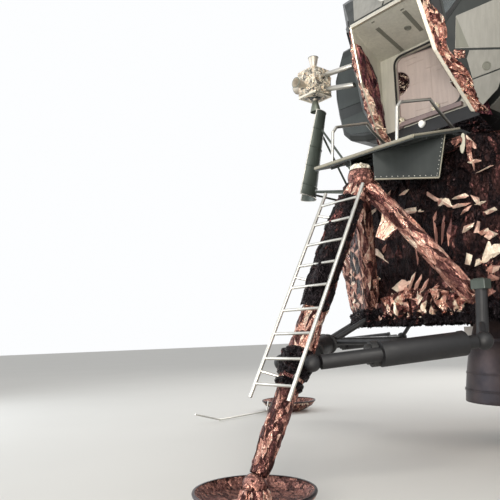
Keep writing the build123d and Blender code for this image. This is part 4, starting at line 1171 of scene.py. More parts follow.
@dataclass(frozen=True)
class CadDressing:
    """Finishes of the carried-over CAD nodes, with their sharp edges softened."""

    edge_radius: float = 0.003
    crease_angle: float = 35.0
    weld: float = 0.00002

    def finishes(self) -> dict[str, Finish]:
        """Return the finish of each CAD node.

        Returns:
            A finish for each node's name.
        """
        bays = [f"descent_bay_{end}_{side}" for end in ("front", "rear") for side in ("left", "right")]
        legs = [f"gear_{part}_{leg}" for part in ("outrigger", "primary_strut", "footpad") for leg in LEGS]
        table = {
            Finish.FOIL_SOLID: ("descent_core", *bays, "descent_deck", "base_heat_shield", "equipment_pallet"),
            Finish.RECESS_PANEL: ("hatch_recess",),
            Finish.COPPER_SOLID: tuple(legs),
            Finish.BLACK_PAINT: ("gear_secondary_struts", "gear_trusses"),
            Finish.TUBE: ("contact_probes", "ladder", "porch_handrails", "thruster_booms", "antenna_mast",
                          "antenna_fork", "docking_tunnel", "gimbal_ring"),
            Finish.PORCH_PLATE: ("porch",),
            Finish.GREY_PANEL: ("overhead_hatch",),
            Finish.DARK_PANEL: ("front_panel_left", "front_panel_right", "brow_panel", "crown_panel",
                                "cabin_shell", "midsection", "tank_bay_left", "tank_bay_right",
                                "aft_equipment_bay"),
            Finish.HATCH_PANEL: ("forward_hatch",),
            Finish.CABIN_PAINT: ("cabin_rear_bulkhead", "cabin_floor", "instrument_panels",
                                 "ascent_engine_cover"),
            Finish.BELL: ("descent_engine", "ascent_engine"),
            Finish.SILVER_SOLID: ("thruster_housings",),
            Finish.THRUSTER_LIGHT: ("thruster_nozzles",),
            Finish.GREEN_GREY: ("plume_deflectors", "radar_pedestal", "radar_shaft"),
            Finish.WHITE_PAINT: ("radar_dish", "antenna_dish", "landing_radar", "fixed_antennas"),
            Finish.WINDOW: ("cabin_windows",),
            Finish.LENS: ("lamps",),
        }
        return {node: finish for finish, nodes in table.items() for node in nodes}

    def build(self) -> None:
        """Give every CAD node its finish and its softened edges."""
        for name, finish in self.finishes().items():
            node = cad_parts[name]
            node.data.materials.clear()
            node.data.materials.append(finish.made())
            node.modifiers.new("weld", "WELD").merge_threshold = self.weld
            round_off(node, self.edge_radius).angle_limit = math.radians(self.crease_angle)
            log.info("%s: %s", name, finish.name.lower())


@dataclass(frozen=True)
class Stage:
    """Foil blankets round the descent stage, on its deck and under its base, the ragged hem, and bright folds
    painted as sun glints.
    """

    cell: float = 0.13
    depth: float = 0.042
    hem_top: float = 1.60
    hem_drop: float = 0.22
    corner_lap: float = 0.012
    hole: float = 0.65
    pallet_half: float = 0.54
    # Painted highlights: bright folds standing for sun glints, from tip to tip across and up, with their half
    # width and shade
    front_painted_glints: tuple[Fold, ...] = (
        (-0.119, 2.611, 0.138, 2.552, 0.033, 1.00), (-0.119, 2.774, 0.011, 2.812, 0.019, 0.95),
        (0.236, 2.731, 0.365, 2.612, 0.026, 0.95), (0.345, 2.636, 0.492, 2.526, 0.034, 0.90),
        (0.499, 2.605, 0.650, 2.604, 0.019, 1.00), (0.493, 2.536, 0.664, 2.532, 0.017, 0.90),
        (0.582, 2.440, 0.682, 2.499, 0.019, 0.95), (0.565, 2.246, 0.687, 2.323, 0.023, 1.00),
        (-0.551, 2.271, -0.332, 2.078, 0.021, 1.00), (-0.549, 1.925, -0.386, 1.899, 0.025, 0.90),
        (-0.288, 1.793, -0.068, 1.838, 0.044, 0.95), (-0.167, 1.699, -0.051, 1.743, 0.038, 0.85),
        (-0.118, 1.686, -0.001, 1.904, 0.015, 0.90), (-0.045, 1.670, 0.069, 1.877, 0.015, 0.80),
        (0.027, 1.655, 0.148, 1.829, 0.015, 0.85), (0.109, 1.640, 0.248, 1.780, 0.015, 0.75),
        (-0.540, 1.640, -0.364, 1.590, 0.050, 0.90), (-0.392, 1.600, -0.231, 1.650, 0.042, 1.00),
        (-0.226, 1.650, -0.061, 1.590, 0.042, 0.80), (-0.095, 1.670, 0.084, 1.600, 0.040, 0.88),
        (0.048, 1.660, 0.236, 1.640, 0.020, 0.95), (0.111, 1.620, 0.320, 1.610, 0.030, 0.90),
        (0.267, 1.600, 0.448, 1.641, 0.028, 0.78), (0.366, 1.640, 0.591, 1.600, 0.022, 0.80),
        (0.276, 2.108, 0.307, 2.469, 0.018, 0.72), (0.334, 2.120, 0.399, 2.473, 0.016, 0.70),
        (0.415, 2.149, 0.458, 2.382, 0.012, 0.66), (-0.510, 2.639, -0.435, 2.693, 0.017, 0.90),
        (-0.293, 2.755, -0.219, 2.851, 0.011, 0.80), (0.046, 2.034, 0.079, 2.279, 0.010, 0.70),
        (-0.377, 2.193, -0.330, 2.274, 0.011, 0.75), (0.581, 1.962, 0.649, 2.021, 0.025, 1.00),
        (0.421, 1.716, 0.535, 1.794, 0.014, 0.85), (0.475, 1.640, 0.605, 1.680, 0.017, 0.80),
        (0.174, 1.716, 0.270, 1.768, 0.013, 0.90))
    # Painted highlights on the strip beside the pallet, in the same columns
    strip_painted_glints: tuple[Fold, ...] = (
        (-0.975, 2.595, -0.905, 2.502, 0.017, 0.95), (-0.941, 2.514, -0.847, 2.538, 0.015, 1.00),
        (-0.919, 2.338, -0.975, 2.250, 0.021, 1.00), (-0.936, 2.242, -0.844, 2.257, 0.018, 0.90),
        (-0.876, 2.201, -0.774, 2.216, 0.024, 1.00), (-0.875, 2.433, -0.754, 2.446, 0.017, 1.00),
        (-0.975, 1.979, -0.933, 1.956, 0.031, 1.00), (-0.933, 1.956, -0.766, 2.101, 0.042, 1.00),
        (-0.885, 1.879, -0.783, 1.912, 0.028, 0.85), (-0.893, 1.785, -0.792, 1.800, 0.024, 0.80),
        (-0.975, 3.200, -0.896, 3.065, 0.016, 0.85), (-0.975, 2.932, -0.869, 2.943, 0.015, 0.95),
        (-0.931, 2.867, -0.954, 3.048, 0.014, 0.85), (-0.897, 2.826, -0.763, 2.877, 0.013, 0.90),
        (-0.930, 1.640, -0.828, 1.680, 0.022, 0.80))

    def tone(self, low: float, base: float, rise: float = 0.2) -> Tone:
        """Return a tone that grows towards the base, as painted light from the ground below.

        Args:
            low: Height of the base.
            base: Shade of the upper part.
            rise: How much brighter it is painted at the base.

        Returns:
            The tone.
        """
        return lambda u, v: base + rise * max(0.0, 1.0 - (v - low) / 0.45)

    def scattered_painted_glints(self, seed: int, left: float, right: float, bottom: float, top: float) -> list[Fold]:
        """Return bright folds at random places of a face, more of them near its foot, as painted sun glints.

        Args:
            seed: Seed of the random source.
            left: Left edge of the face.
            right: Right edge.
            bottom: Lower edge.
            top: Upper edge.

        Returns:
            The folds.
        """
        rng = random.Random(seed)
        rows = []
        for _ in range(round(26 * (right - left))):
            u = rng.uniform(left + 0.12, right - 0.12)
            v = bottom + 0.1 + (top - bottom - 0.25) * rng.random() ** 1.4
            angle, length = rng.uniform(-0.6, 1.9), rng.uniform(0.04, 0.11)
            du, dv = length * cos(angle), length * sin(angle)
            rows.append((u - du, v - dv, u + du, v + dv, rng.uniform(0.012, 0.036), rng.uniform(0.68, 1.0)))
        return rows

    def folds(self, name: str, spot: Spot, rows: Sequence[Fold], seed: int, body: str = "vehicle") -> None:
        """Stand bright folds out of a face, each a kite of five flat facets in painted glint colours.

        Args:
            name: Name of the face.
            spot: Plane of the face.
            rows: The folds.
            seed: Seed of the random source.
            body: CAD body that they ride on.
        """
        rng = random.Random(seed)
        soup = Soup()
        for u0, v0, u1, v1, half, shade in rows:
            du, dv = u1 - u0, v1 - v0
            u0, v0, u1, v1 = u0 - 0.15 * du, v0 - 0.15 * dv, u1 + 0.15 * du, v1 + 0.15 * dv
            reach = half / hypot(u1 - u0, v1 - v0)
            places = ((0.0, 0.0, 0.020), (rng.uniform(0.10, 0.45), -rng.uniform(0.5, 2.4), 0.026),
                      (rng.uniform(0.55, 0.95), -rng.uniform(0.3, 1.6), 0.030), (1.0, 0.0, 0.022),
                      (rng.uniform(0.30, 0.90), rng.uniform(0.5, 2.6), 0.028),
                      (rng.uniform(0.35, 0.65), rng.uniform(-0.4, 0.6), 0.066))
            points = [spot.at(u0 + (u1 - u0) * along + (v0 - v1) * reach * aside,
                              v0 + (v1 - v0) * along + (u1 - u0) * reach * aside, height)
                      for along, aside, height in places]
            for k in range(5):
                soup.add([points[5], points[k], points[(k + 1) % 5]], [(0, 1, 2)],
                         min(1.0, shade + rng.uniform(-0.24, 0.05)))
        soup.piece(f"folds_{name}", Finish.BRIGHT_FOLD, body, thickness=0.001)

    def build(self) -> None:
        """Make every blanket."""
        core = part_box("descent_core")
        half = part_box("descent_bay_front_left")[0].x
        bottom, top = core[0].z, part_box("descent_deck")[1].z
        reach = core[1].x
        side = (reach - half) / math.sqrt(2)
        for quarter in range(4):
            angle = quarter * pi / 2
            spot = Spot(leg_point(angle, reach, 0, 0), Vector((-sin(angle), cos(angle), 0)), UP)
            self.face(f"gear_{quarter}", spot, half, bottom, top, self.tone(bottom, -0.06, 0.16),
                      Finish.BLACK_FOIL, 11 + quarter)
            rows = self.front_painted_glints if quarter == 3 else self.scattered_painted_glints(30 + quarter, -half, half, bottom, top)
            self.folds(f"gear_{quarter}", spot, rows, 35 + quarter)
            # Copper band along the foot: copper foil, brightened as painted light from the ground
            band = [(-0.54, bottom - 0.12), (0.50, bottom - 0.08), (0.60, bottom + 0.06), (0.30, bottom + 0.16),
                    (-0.05, bottom + 0.20), (-0.45, bottom + 0.12)]
            Crumple(0.060, 0.070, 1.9, 0.45, 2, 41 + quarter).sheet(spot.shifted(0, 0, 0.03), band, 0.56).piece(
                f"base_fold_{quarter}", Finish.COPPER_BLANKET, thickness=0.001)
            angle += pi / 4
            spot = Spot(leg_point(angle, (reach + half) / math.sqrt(2), 0, 0),
                        Vector((-sin(angle), cos(angle), 0)), UP)
            if quarter == 3:
                self.pallet_face(spot, side, bottom, top)
            elif quarter == 2:
                self.face("corner_2", spot, side, bottom, top, self.tone(bottom, 0.10), Finish.BLACK_FOIL, 53)
                self.folds("corner_2", spot, self.scattered_painted_glints(63, -side, side, bottom, top), 64)
            else:
                self.face(f"corner_{quarter}", spot, side, bottom, top, self.tone(bottom, 0.42),
                          Finish.COPPER_BLANKET, 51 + quarter)
        octagon = [(reach, -half), (reach, half), (half, reach), (-half, reach), (-reach, half),
                   (-reach, -half), (-half, -reach), (half, -reach)]
        Crumple(0.16, 0.022, 1.0, 0.3, 2, 90).sheet(level(UP * top), octagon, 0.36, 0.002).piece(
            "deck_blanket", Finish.BLACK_FOIL)
        self.base(octagon, bottom - 0.04)

    def face(self, name: str, spot: Spot, side: float, bottom: float, top: float, tone: Tone, finish: Finish,
             seed: int) -> None:
        """Cover one upright face, with a hem below it and a taped edge at the deck.

        Args:
            name: Name of the face.
            spot: Its plane.
            side: Half its width.
            bottom: Its lower edge.
            top: Its upper edge.
            tone: Mean shade by the place.
            finish: Finish of the foil.
            seed: Seed of the foil.
        """
        wide = side + self.corner_lap
        Crumple(self.cell, self.depth, 1.7, 0.34, 3, seed).sheet(
            spot, box(-wide, bottom, wide, top), tone).piece(f"blanket_{name}", finish)
        self.hem(name, spot, wide, seed)
        tape = Soup().slab(spot, box(-wide, top - 0.035, wide, top + 0.006), 0.004, 0.026)
        tape.rivets(spot.shifted(0, 0, 0.026), (-wide + 0.04, top - 0.015), (wide - 0.04, top - 0.015), 0.09)
        tape.piece(f"deck_edge_{name}", Finish.DARK_PANEL)

    def hem(self, name: str, spot: Spot, wide: float, seed: int) -> None:
        """Hang a ragged black strip below a face.

        Args:
            name: Name of the face.
            spot: Its plane.
            wide: Half the strip's width.
            seed: Seed of the face's foil.
        """
        rng = random.Random(seed + 300)
        low = self.hem_top - self.hem_drop
        corners, faces, shades = Crumple(0.05, 0.07, 1.2, 0.5, 2, seed + 300).flat(
            box(-wide, low, wide, self.hem_top), lambda u, v: 0.35)
        points = []
        for u, v, h in corners:
            ragged = rng.uniform(0.0, 0.12) if v < low + 0.02 else 0.0
            points.append(spot.at(u, v + ragged, 0.02 + h * 0.7))
        Soup(points, faces, shades).piece(f"hem_{name}", Finish.BLACK_SLEEVE, thickness=0.0015)

    def pallet_face(self, spot: Spot, side: float, bottom: float, top: float) -> None:
        """Cover the folding pallet and the strips of the bay round it.

        Args:
            spot: Plane of the bay's face.
            side: Half its width.
            bottom: Its lower edge.
            top: Its upper edge.
        """
        low, high = (corner.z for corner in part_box("equipment_pallet"))
        half, up = self.pallet_half, low + 0.03
        reach = (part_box("descent_core")[1].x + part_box("descent_bay_front_left")[0].x) / math.sqrt(2)
        door = Spot(leg_point(-pi / 4, reach, 0, 0), spot.across, UP)
        tone = self.tone(bottom, 0.10)
        Crumple(self.cell, 0.030, 1.5, 0.34, 3, 77).sheet(door, box(-half, up, half, high - 0.02), tone).piece(
            "pallet_blanket", Finish.BLACK_FOIL, "equipment_pallet")
        self.folds("pallet", door, self.scattered_painted_glints(66, -half, half, up, high), 67, "equipment_pallet")
        rim = Soup()
        for outline in (box(-half, up, half, up + 0.03), box(-half, high - 0.05, half, high - 0.02),
                        box(-half, up, -half + 0.03, high - 0.02), box(half - 0.03, up, half, high - 0.02)):
            rim.slab(door, outline, 0.002, 0.022)
        rim.piece("pallet_rim", Finish.DARK_PANEL, "equipment_pallet")
        wide = side + self.corner_lap
        for name, left, right, seed in (("right", -wide, -half - 0.025, 78), ("left", half + 0.025, wide, 79)):
            Crumple(0.10, 0.035, 1.9, 0.34, 3, seed).sheet(spot, box(left, bottom, right, top), tone).piece(
                f"blanket_pallet_{name}", Finish.BLACK_FOIL)
            rows = self.strip_painted_glints if name == "right" else self.scattered_painted_glints(68, left, right, bottom, top)
            self.folds(f"pallet_{name}", spot, rows, 69)
        self.hem("pallet", spot, wide, 80)

    def base(self, outer: Outline, up: float) -> None:
        """Lay foil under the base in eight pieces round the engine's hole, with the hole's collar.

        Args:
            outer: Outline of the base.
            up: Its height.
        """
        spot = facing_down(UP * up)
        foil = Soup()
        for i, (ax, ay) in enumerate(outer):
            bx, by = outer[(i + 1) % 8]
            inner = [(1.09 * self.hole * x / hypot(x, y), 1.09 * self.hole * y / hypot(x, y))
                     for x, y in ((bx, by), (ax, ay))]
            foil.join(Crumple(0.15, 0.022, 1.2, 0.3, 2, 120 + i).sheet(spot, [(ax, ay), (bx, by), *inner], 0.5,
                                                                        0.002))
        foil.piece("base_blanket", Finish.AMBER_BLANKET)
        hole = self.hole
        Soup().lathe(spot, [(hole + 0.08, 0.0), (hole + 0.08, 0.022), (hole + 0.02, 0.034),
                            (hole - 0.02, 0.026), (hole - 0.02, -0.03)], 64).piece("engine_collar", Finish.BELL)


@dataclass(frozen=True)
class Leg:
    """Foil round one leg's struts and on its footpad."""

    name: str
    azimuth: float
    index: int
    apex_out: float = 2.847
    apex_up: float = 2.819
    foot_out: float = 4.278
    foot_up: float = 0.215
    fittings: tuple[Colour, ...] = ((0.604, 1.657, 0.078), (0.626, 3.166, 0.050))
    cylinder: float = 0.093
    piston: float = 0.070
    cylinder_share: float = 0.72
    knee_share: float = 0.66
    knot: float = 0.13

    def rounds(self) -> int:
        """Return how finely the foil is crumpled: finer on the leg that is seen close."""
        return 3 if self.name == "front" else 2

    def point(self, out: float, side: float, up: float) -> Vector:
        """Return a point in the leg's own directions."""
        return leg_point(self.azimuth, out, side, up)

    def along(self, share: float, lift: float = 0.0) -> Vector:
        """Return the point at a share of the strut's length, lifted off its axis.

        Args:
            share: Share of its length from the apex.
            lift: How far off its axis, outward.

        Returns:
            The point.
        """
        run_out, run_up = self.foot_out - self.apex_out, self.foot_up - self.apex_up
        length = hypot(run_out, run_up)
        return self.point(self.apex_out + run_out * share - run_up / length * lift, 0,
                          self.apex_up + run_up * share + run_out / length * lift)

    def build(self) -> None:
        """Dress the leg."""
        self.outrigger()
        self.strut()
        self.pad()
        self.secondary()

    def outrigger(self) -> None:
        """Wrap the outrigger's tubes and the joint at its apex."""
        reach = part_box("descent_core")[1].x
        apex = self.along(0.0)
        kinds = (("lower", Finish.COPPER_WRAP, 0.38), ("upper", Finish.BLACK_SLEEVE, 0.6))
        for (side, up, radius), (label, finish, shade) in zip(self.fittings, kinds):
            soup = Soup()
            for way in (-1, 1):
                end = self.point(reach, way * side, up)
                wrap = Crumple(0.030, 0.020, 5.5, 0.28, self.rounds(), 100 + 10 * self.index + way)
                soup.join(wrap.sleeve(apex + (end - apex) * 0.05, end, (radius * 0.92, radius * 1.05), shade))
            soup.piece(f"outrigger_{label}_wrap_{self.name}", finish)
        angles = [math.radians(34 + 11 * i) for i in range(6)]
        Crumple(0.05, 0.022, 1.1, 0.35, 2, 140 + self.index).turned(
            level(apex), [(self.knot * cos(a), self.knot * sin(a)) for a in angles], 0.6).piece(
            f"apex_wrap_{self.name}", Finish.CREAM_WRAP if self.name == "front" else Finish.COPPER_WRAP)

    def strut(self) -> None:
        """Wrap the primary strut's cylinder, piston and knee."""
        end = self.along(self.cylinder_share)
        upper = Crumple(0.034, 0.022, 4.0, 0.32, self.rounds(), 160 + self.index)
        upper.sleeve(self.along(0.045), end, (self.cylinder, self.cylinder), 0.48).piece(
            f"strut_wrap_{self.name}", Finish.COPPER_WRAP)
        lower = Crumple(0.032, 0.016, 3.0, 0.3, self.rounds(), 170 + self.index)
        lower.sleeve(end, self.along(0.972), (self.piston * 1.18, self.piston), 0.26).piece(
            f"piston_wrap_{self.name}", Finish.COPPER_WRAP)
        cuff = Crumple(0.045, 0.036, 1.0, 0.4, 2, 180 + self.index)
        soup = cuff.sleeve(self.along(self.knee_share - 0.035), self.along(self.knee_share + 0.045),
                           (0.122, 0.108), 0.45)
        soup.join(cuff.sleeve(self.along(self.cylinder_share - 0.005), self.along(self.cylinder_share + 0.02),
                              (0.108, 0.080), 0.4))
        soup.piece(f"knee_wrap_{self.name}", Finish.BLACK_SLEEVE)

    def secondary(self) -> None:
        """Put end caps and a seal ring on both secondary struts."""
        soup = Soup()
        knee = self.along(self.knee_share)
        for way in (-1, 1):
            body = self.point(2.43, way * 0.9, 1.235)
            for share, radius, length in ((0.125, 0.108, 0.02), (0.595, 0.109, 0.035), (0.60, 0.085, 0.06)):
                middle, half = body + (knee - body) * share, (knee - body).normalized() * length
                soup.bar(middle - half, middle + half, radius, 28)
        soup.piece(f"secondary_rings_{self.name}", Finish.SEAL)

    def pad(self) -> None:
        """Put crumpled foil on the pad's upper side and a rim round its edge."""
        spot = level(self.point(self.foot_out, 0, 0))
        Soup().lathe(spot, [(0.452, 0.160), (0.470, 0.168), (0.474, 0.180), (0.470, 0.190), (0.452, 0.190)],
                     72).piece(f"pad_rim_{self.name}", Finish.BELL, smooth=True)
        Crumple(0.07, 0.012, 1.4, 0.35, self.rounds(), 200 + self.index).turned(
            spot, [(0.215, 0.006), (0.33, 0.062), (0.43, 0.128), (0.468, 0.170)], 0.55).piece(
            f"pad_skin_{self.name}", Finish.COPPER_BLANKET)
        Crumple(0.05, 0.016, 1.2, 0.35, 2, 210 + self.index).turned(
            spot, [(0.24, 0.062), (0.13, 0.10), (0.105, 0.20)], 0.5).piece(
            f"socket_wrap_{self.name}", Finish.COPPER_WRAP)


@dataclass(frozen=True)
class FrontLegExtras:
    """What only the front leg carries: the loose black sleeve, the torn flap and the base's post."""

    leg: Leg
    post: Colour = (0.74, -2.12, 1.70)

    def build(self) -> None:
        """Make the pieces."""
        leg, top = self.leg, Vector(self.post)
        Crumple(0.05, 0.035, 2.6, 0.4, 3, 220).sleeve(
            leg.along(0.10, 0.02), leg.along(0.50, 0.03), (0.118, 0.110), 0.5, 2.4, pi).piece(
            "strut_loose_sleeve", Finish.BLACK_SLEEVE)
        first = [Vector(p) for p in ((0.12, -2.66, 2.62), (0.10, -2.70, 2.40), (0.05, -2.74, 2.24))]
        second = [Vector(p) for p in ((0.27, -2.54, 2.46), (0.20, -2.60, 2.30), (0.11, -2.68, 2.20))]
        Crumple(0.025, 0.012, 4.0, 0.4, 3, 221).between(first, second, Vector((0.3, -1, 0)), 0.75).piece(
            "outrigger_flap", Finish.COPPER_WRAP, thickness=0.001)
        Soup().bar(top, Vector((0.76, -2.20, 1.26)), 0.055, 18).piece("base_post", Finish.BLACK_PAINT)
        cap = Soup().slab(level(top), box(-0.07, -0.06, 0.07, 0.06), 0.0, 0.09)
        cap.slab(level(top), box(-0.05, -0.045, 0.05, 0.045), 0.09, 0.10)
        cap.piece("base_post_cap", Finish.GREEN_GREY, bevel=0.004)


@dataclass(frozen=True)
class Recess:
    """The space in front of the hatch: its ceiling, cheeks, edges, sill and the dark panel below."""

    back: float = -1.6
    front: float = -2.34
    half_back: float = 0.62
    half_front: float = 0.43
    top_back: float = 4.62
    top_front: float = 4.75
    foot: float = 3.56
    edge_top: float = 4.74
    seal_half: float = 0.406

    def edge(self, side: int, up: float) -> Vector:
        """Return the front edge of a cheek at a height.

        Args:
            side: 1 on the crew's left, -1 on their right.
            up: Height.

        Returns:
            The edge's point.
        """
        if up > FACE_BEND:
            depth = 0.324 * (4.68 - up)
        else:
            depth = 0.1723 + 0.7364 * (FACE_BEND - up)
        return Vector((side * (self.half_front + 0.2568 * depth), self.front + depth, up))

    def line(self, side: int, low: float, high: float, outward: float, proud: float = 0.003) -> list[Vector]:
        """Return a line along a cheek's front edge.

        Args:
            side: 1 on the crew's left, -1 on their right.
            low: Height where it starts.
            high: Height where it ends.
            outward: How far it is shifted outboard on the face.
            proud: How far it is raised off the face.

        Returns:
            Thirteen points from low to high.
        """
        heights = [low + (high - low) * i / 12 for i in range(13)]
        return [on_face(side, self.edge(side, up).x + side * outward, up, proud) for up in heights]

    def ceiling(self) -> Spot:
        """Return the ceiling's plane, up towards the front."""
        up = Vector((0, self.front - self.back, self.top_front - self.top_back)).normalized()
        return Spot(Vector((0, self.back, self.top_back)), LEFT, up)

    def cheek(self, side: int) -> Spot:
        """Return a cheek's plane, which faces inwards."""
        way = Vector((side * (self.half_front - self.half_back), self.front - self.back, 0)).normalized()
        return Spot(Vector((side * self.half_back, self.back, 0)), way * side, UP)

    def build(self) -> None:
        """Make every piece of the recess."""
        self.overhead()
        for make in (self.lining, self.edges):
            make(-1, "right")
            make(1, "left")
        wisp = Crumple(0.04, 0.045, 1.6, 0.5, 3, 255)
        spot = self.cheek(-1)
        rows = ((3.54, 0.20), (3.80, 0.10), (4.10, 0.03))
        first = [self.edge(-1, up) + spot.out * 0.002 for up, _ in rows]
        second = [self.edge(-1, up) + Vector((0.02, aft, 0)) for up, aft in rows]
        wisp.between(first, second, spot.out, 0.9).piece("cheek_wisp", Finish.COPPER_WRAP)
        self.under_hatch()

    def overhead(self) -> None:
        """Make the ceiling's stripes, fitting and edge trim."""
        spot = self.ceiling()
        dark, trim, heads = Soup(), Soup(), Soup()
        wide = 0.05
        for u0, v0, u1, v1 in ((-0.225, 0.55, -0.275, 0.02), (0.165, 0.585, 0.11, 0.19)):
            dark.slab(spot, [(u0 - wide / 2, v0), (u1 - wide / 2, v1), (u1 + wide / 2, v1),
                             (u0 + wide / 2, v0)], 0.0, 0.004)
        dark.lathe(spot.shifted(0.026, 0.329),
                   [(0.040, 0.0), (0.040, 0.006), (0.028, 0.010), (0.022, 0.004), (0.0, 0.003)], 24)
        for u, v in ((-0.19, 0.664), (0.167, 0.622)):
            dark.slab(spot, box(u - 0.02, v - 0.008, u + 0.02, v + 0.008), 0.0, 0.005)
        dark.piece("ceiling_fittings", Finish.STRIPE)
        deep = hypot(self.front - self.back, self.top_front - self.top_back)
        trim.slab(spot, [(-0.435, deep - 0.022), (0.435, deep - 0.022), (0.43, deep + 0.004),
                         (-0.43, deep + 0.004)], 0.0, 0.010)
        trim.piece("ceiling_edge", Finish.EDGE_TRIM, bevel=0.002)
        for v in (0.04, 0.36, 0.68):
            heads.rivets(spot, (-0.40, v), (0.40, v), 0.08, 0.004)
        for u in (-0.42, 0.42):
            heads.rivets(spot, (u, 0.06), (u, 0.70), 0.08, 0.004)
        heads.piece("ceiling_rivets", Finish.GREY_PANEL)

    def lining(self, side: int, name: str) -> None:
        """Line the front half of a cheek with dark crumpled foil.

        Args:
            side: 1 on the crew's left, -1 on their right.
            name: Name of the side.
        """
        # Rear boundary of the foil: how far aft of the front edge, and height
        rows = ((0.30, 3.56), (0.40, 3.80), (0.44, 4.00), (0.50, 4.20), (0.52, 4.36), (0.42, 4.48),
                (0.26, 4.56), (0.06, 4.59))
        spot = self.cheek(side)
        lift = spot.out * 0.003
        first = [self.edge(side, up) - (spot.across * side) * 0.05 + lift for _, up in rows]
        second = [self.edge(side, up) - (spot.across * side) * aft + lift for aft, up in rows]
        if side > 0:
            first, second = second, first
        Crumple(0.055, 0.030, 3.0, 0.4, 3, 240 + side).between(first, second, spot.out, 0.45).piece(
            f"cheek_foil_{name}", Finish.LINING)
        Soup().rivets(spot, (side * 0.04, 3.62), (side * 0.04, 4.56), 0.07, 0.004).piece(
            f"cheek_rivets_{name}", Finish.GREY_PANEL)

    def edges(self, side: int, name: str) -> None:
        """Trim a cheek's front edge in cream, with crumpled foil beside it.

        Args:
            side: 1 on the crew's left, -1 on their right.
            name: Name of the side.
        """
        low, high = self.foot, self.edge_top
        Soup().ribbon(self.line(side, low, high, -0.004, 0.008), self.line(side, low, high, 0.021, 0.008),
                      side).piece(f"recess_edge_{name}", Finish.EDGE_TRIM, thickness=0.012)
        heads = Soup()
        for point in self.line(side, 3.60, 4.70, 0.010, 0.009):
            face = face_spot(side, point.z)
            heads.rivets(Spot(point, face.across, face.up), (0, -0.03), (0, 0.03), 0.06, 0.004)
        heads.piece(f"recess_edge_rivets_{name}", Finish.TUBE)
        inner = self.line(side, low, high, 0.022)
        outer = [point + Vector((side * 0.03 * sin(5 * i), 0, 0))
                 for i, point in enumerate(self.line(side, low, high, 0.115))]
        first, second = (inner, outer) if side > 0 else (outer, inner)
        Crumple(0.032, 0.034, 2.4, 0.45, 3, 250 + side).between(
            first, second, face_spot(side, 4.4).out, 0.50).piece(f"edge_foil_{name}", Finish.COPPER_WRAP)
        spot = self.cheek(side)
        lip = [self.edge(side, up) + spot.out * 0.004 for up in (low, 3.8, 4.0, FACE_BEND, 4.35, 4.60)]
        inner = [point - (spot.across * side) * 0.055 for point in lip]
        Soup().ribbon(inner, lip, -side).piece(f"cheek_edge_{name}", Finish.EDGE_TRIM, thickness=0.003)

    def under_hatch(self) -> None:
        """Make the hatch's seal, the sill and the dark panel below it, with a lamp and two wraps."""
        spot = facing_front(self.back)
        half = self.seal_half
        Soup().ring(spot, rounded(-half - 0.022, 3.748, half + 0.022, 4.592, 0.115),
                    rounded(-half, 3.770, half, 4.570, 0.095), 0.0, 0.012).piece("hatch_seal", Finish.SEAL)
        sill = Soup().slab(spot, box(-0.43, 3.700, 0.43, 3.752), 0.002, 0.050)
        sill.slab(spot, box(-0.40, 3.690, -0.34, 3.700), 0.002, 0.030)
        sill.piece("hatch_sill", Finish.SILL, bevel=0.004)
        Soup().slab(spot, box(-0.60, 3.545, 0.60, 3.688), 0.001, 0.006).piece(
            "under_hatch_panel", Finish.BLACK_PAINT)
        Soup().lathe(spot.shifted(-0.09, 3.665), [(0.046, 0.0), (0.046, 0.014), (0.037, 0.016), (0.037, 0.0)],
                     28).piece("hatch_lamp_bezel", Finish.TUBE)
        wraps = Soup()
        for u, v, seed in ((-0.36, 3.77, 261), (0.11, 3.79, 262)):
            wraps.join(Crumple(0.016, 0.014, 1.2, 0.5, 2, seed).turned(
                spot.shifted(u, v, 0.02), [(0.045, 0.0), (0.036, 0.020), (0.012, 0.032)], 0.9))
        wraps.piece("sill_wraps", Finish.CREAM_WRAP)


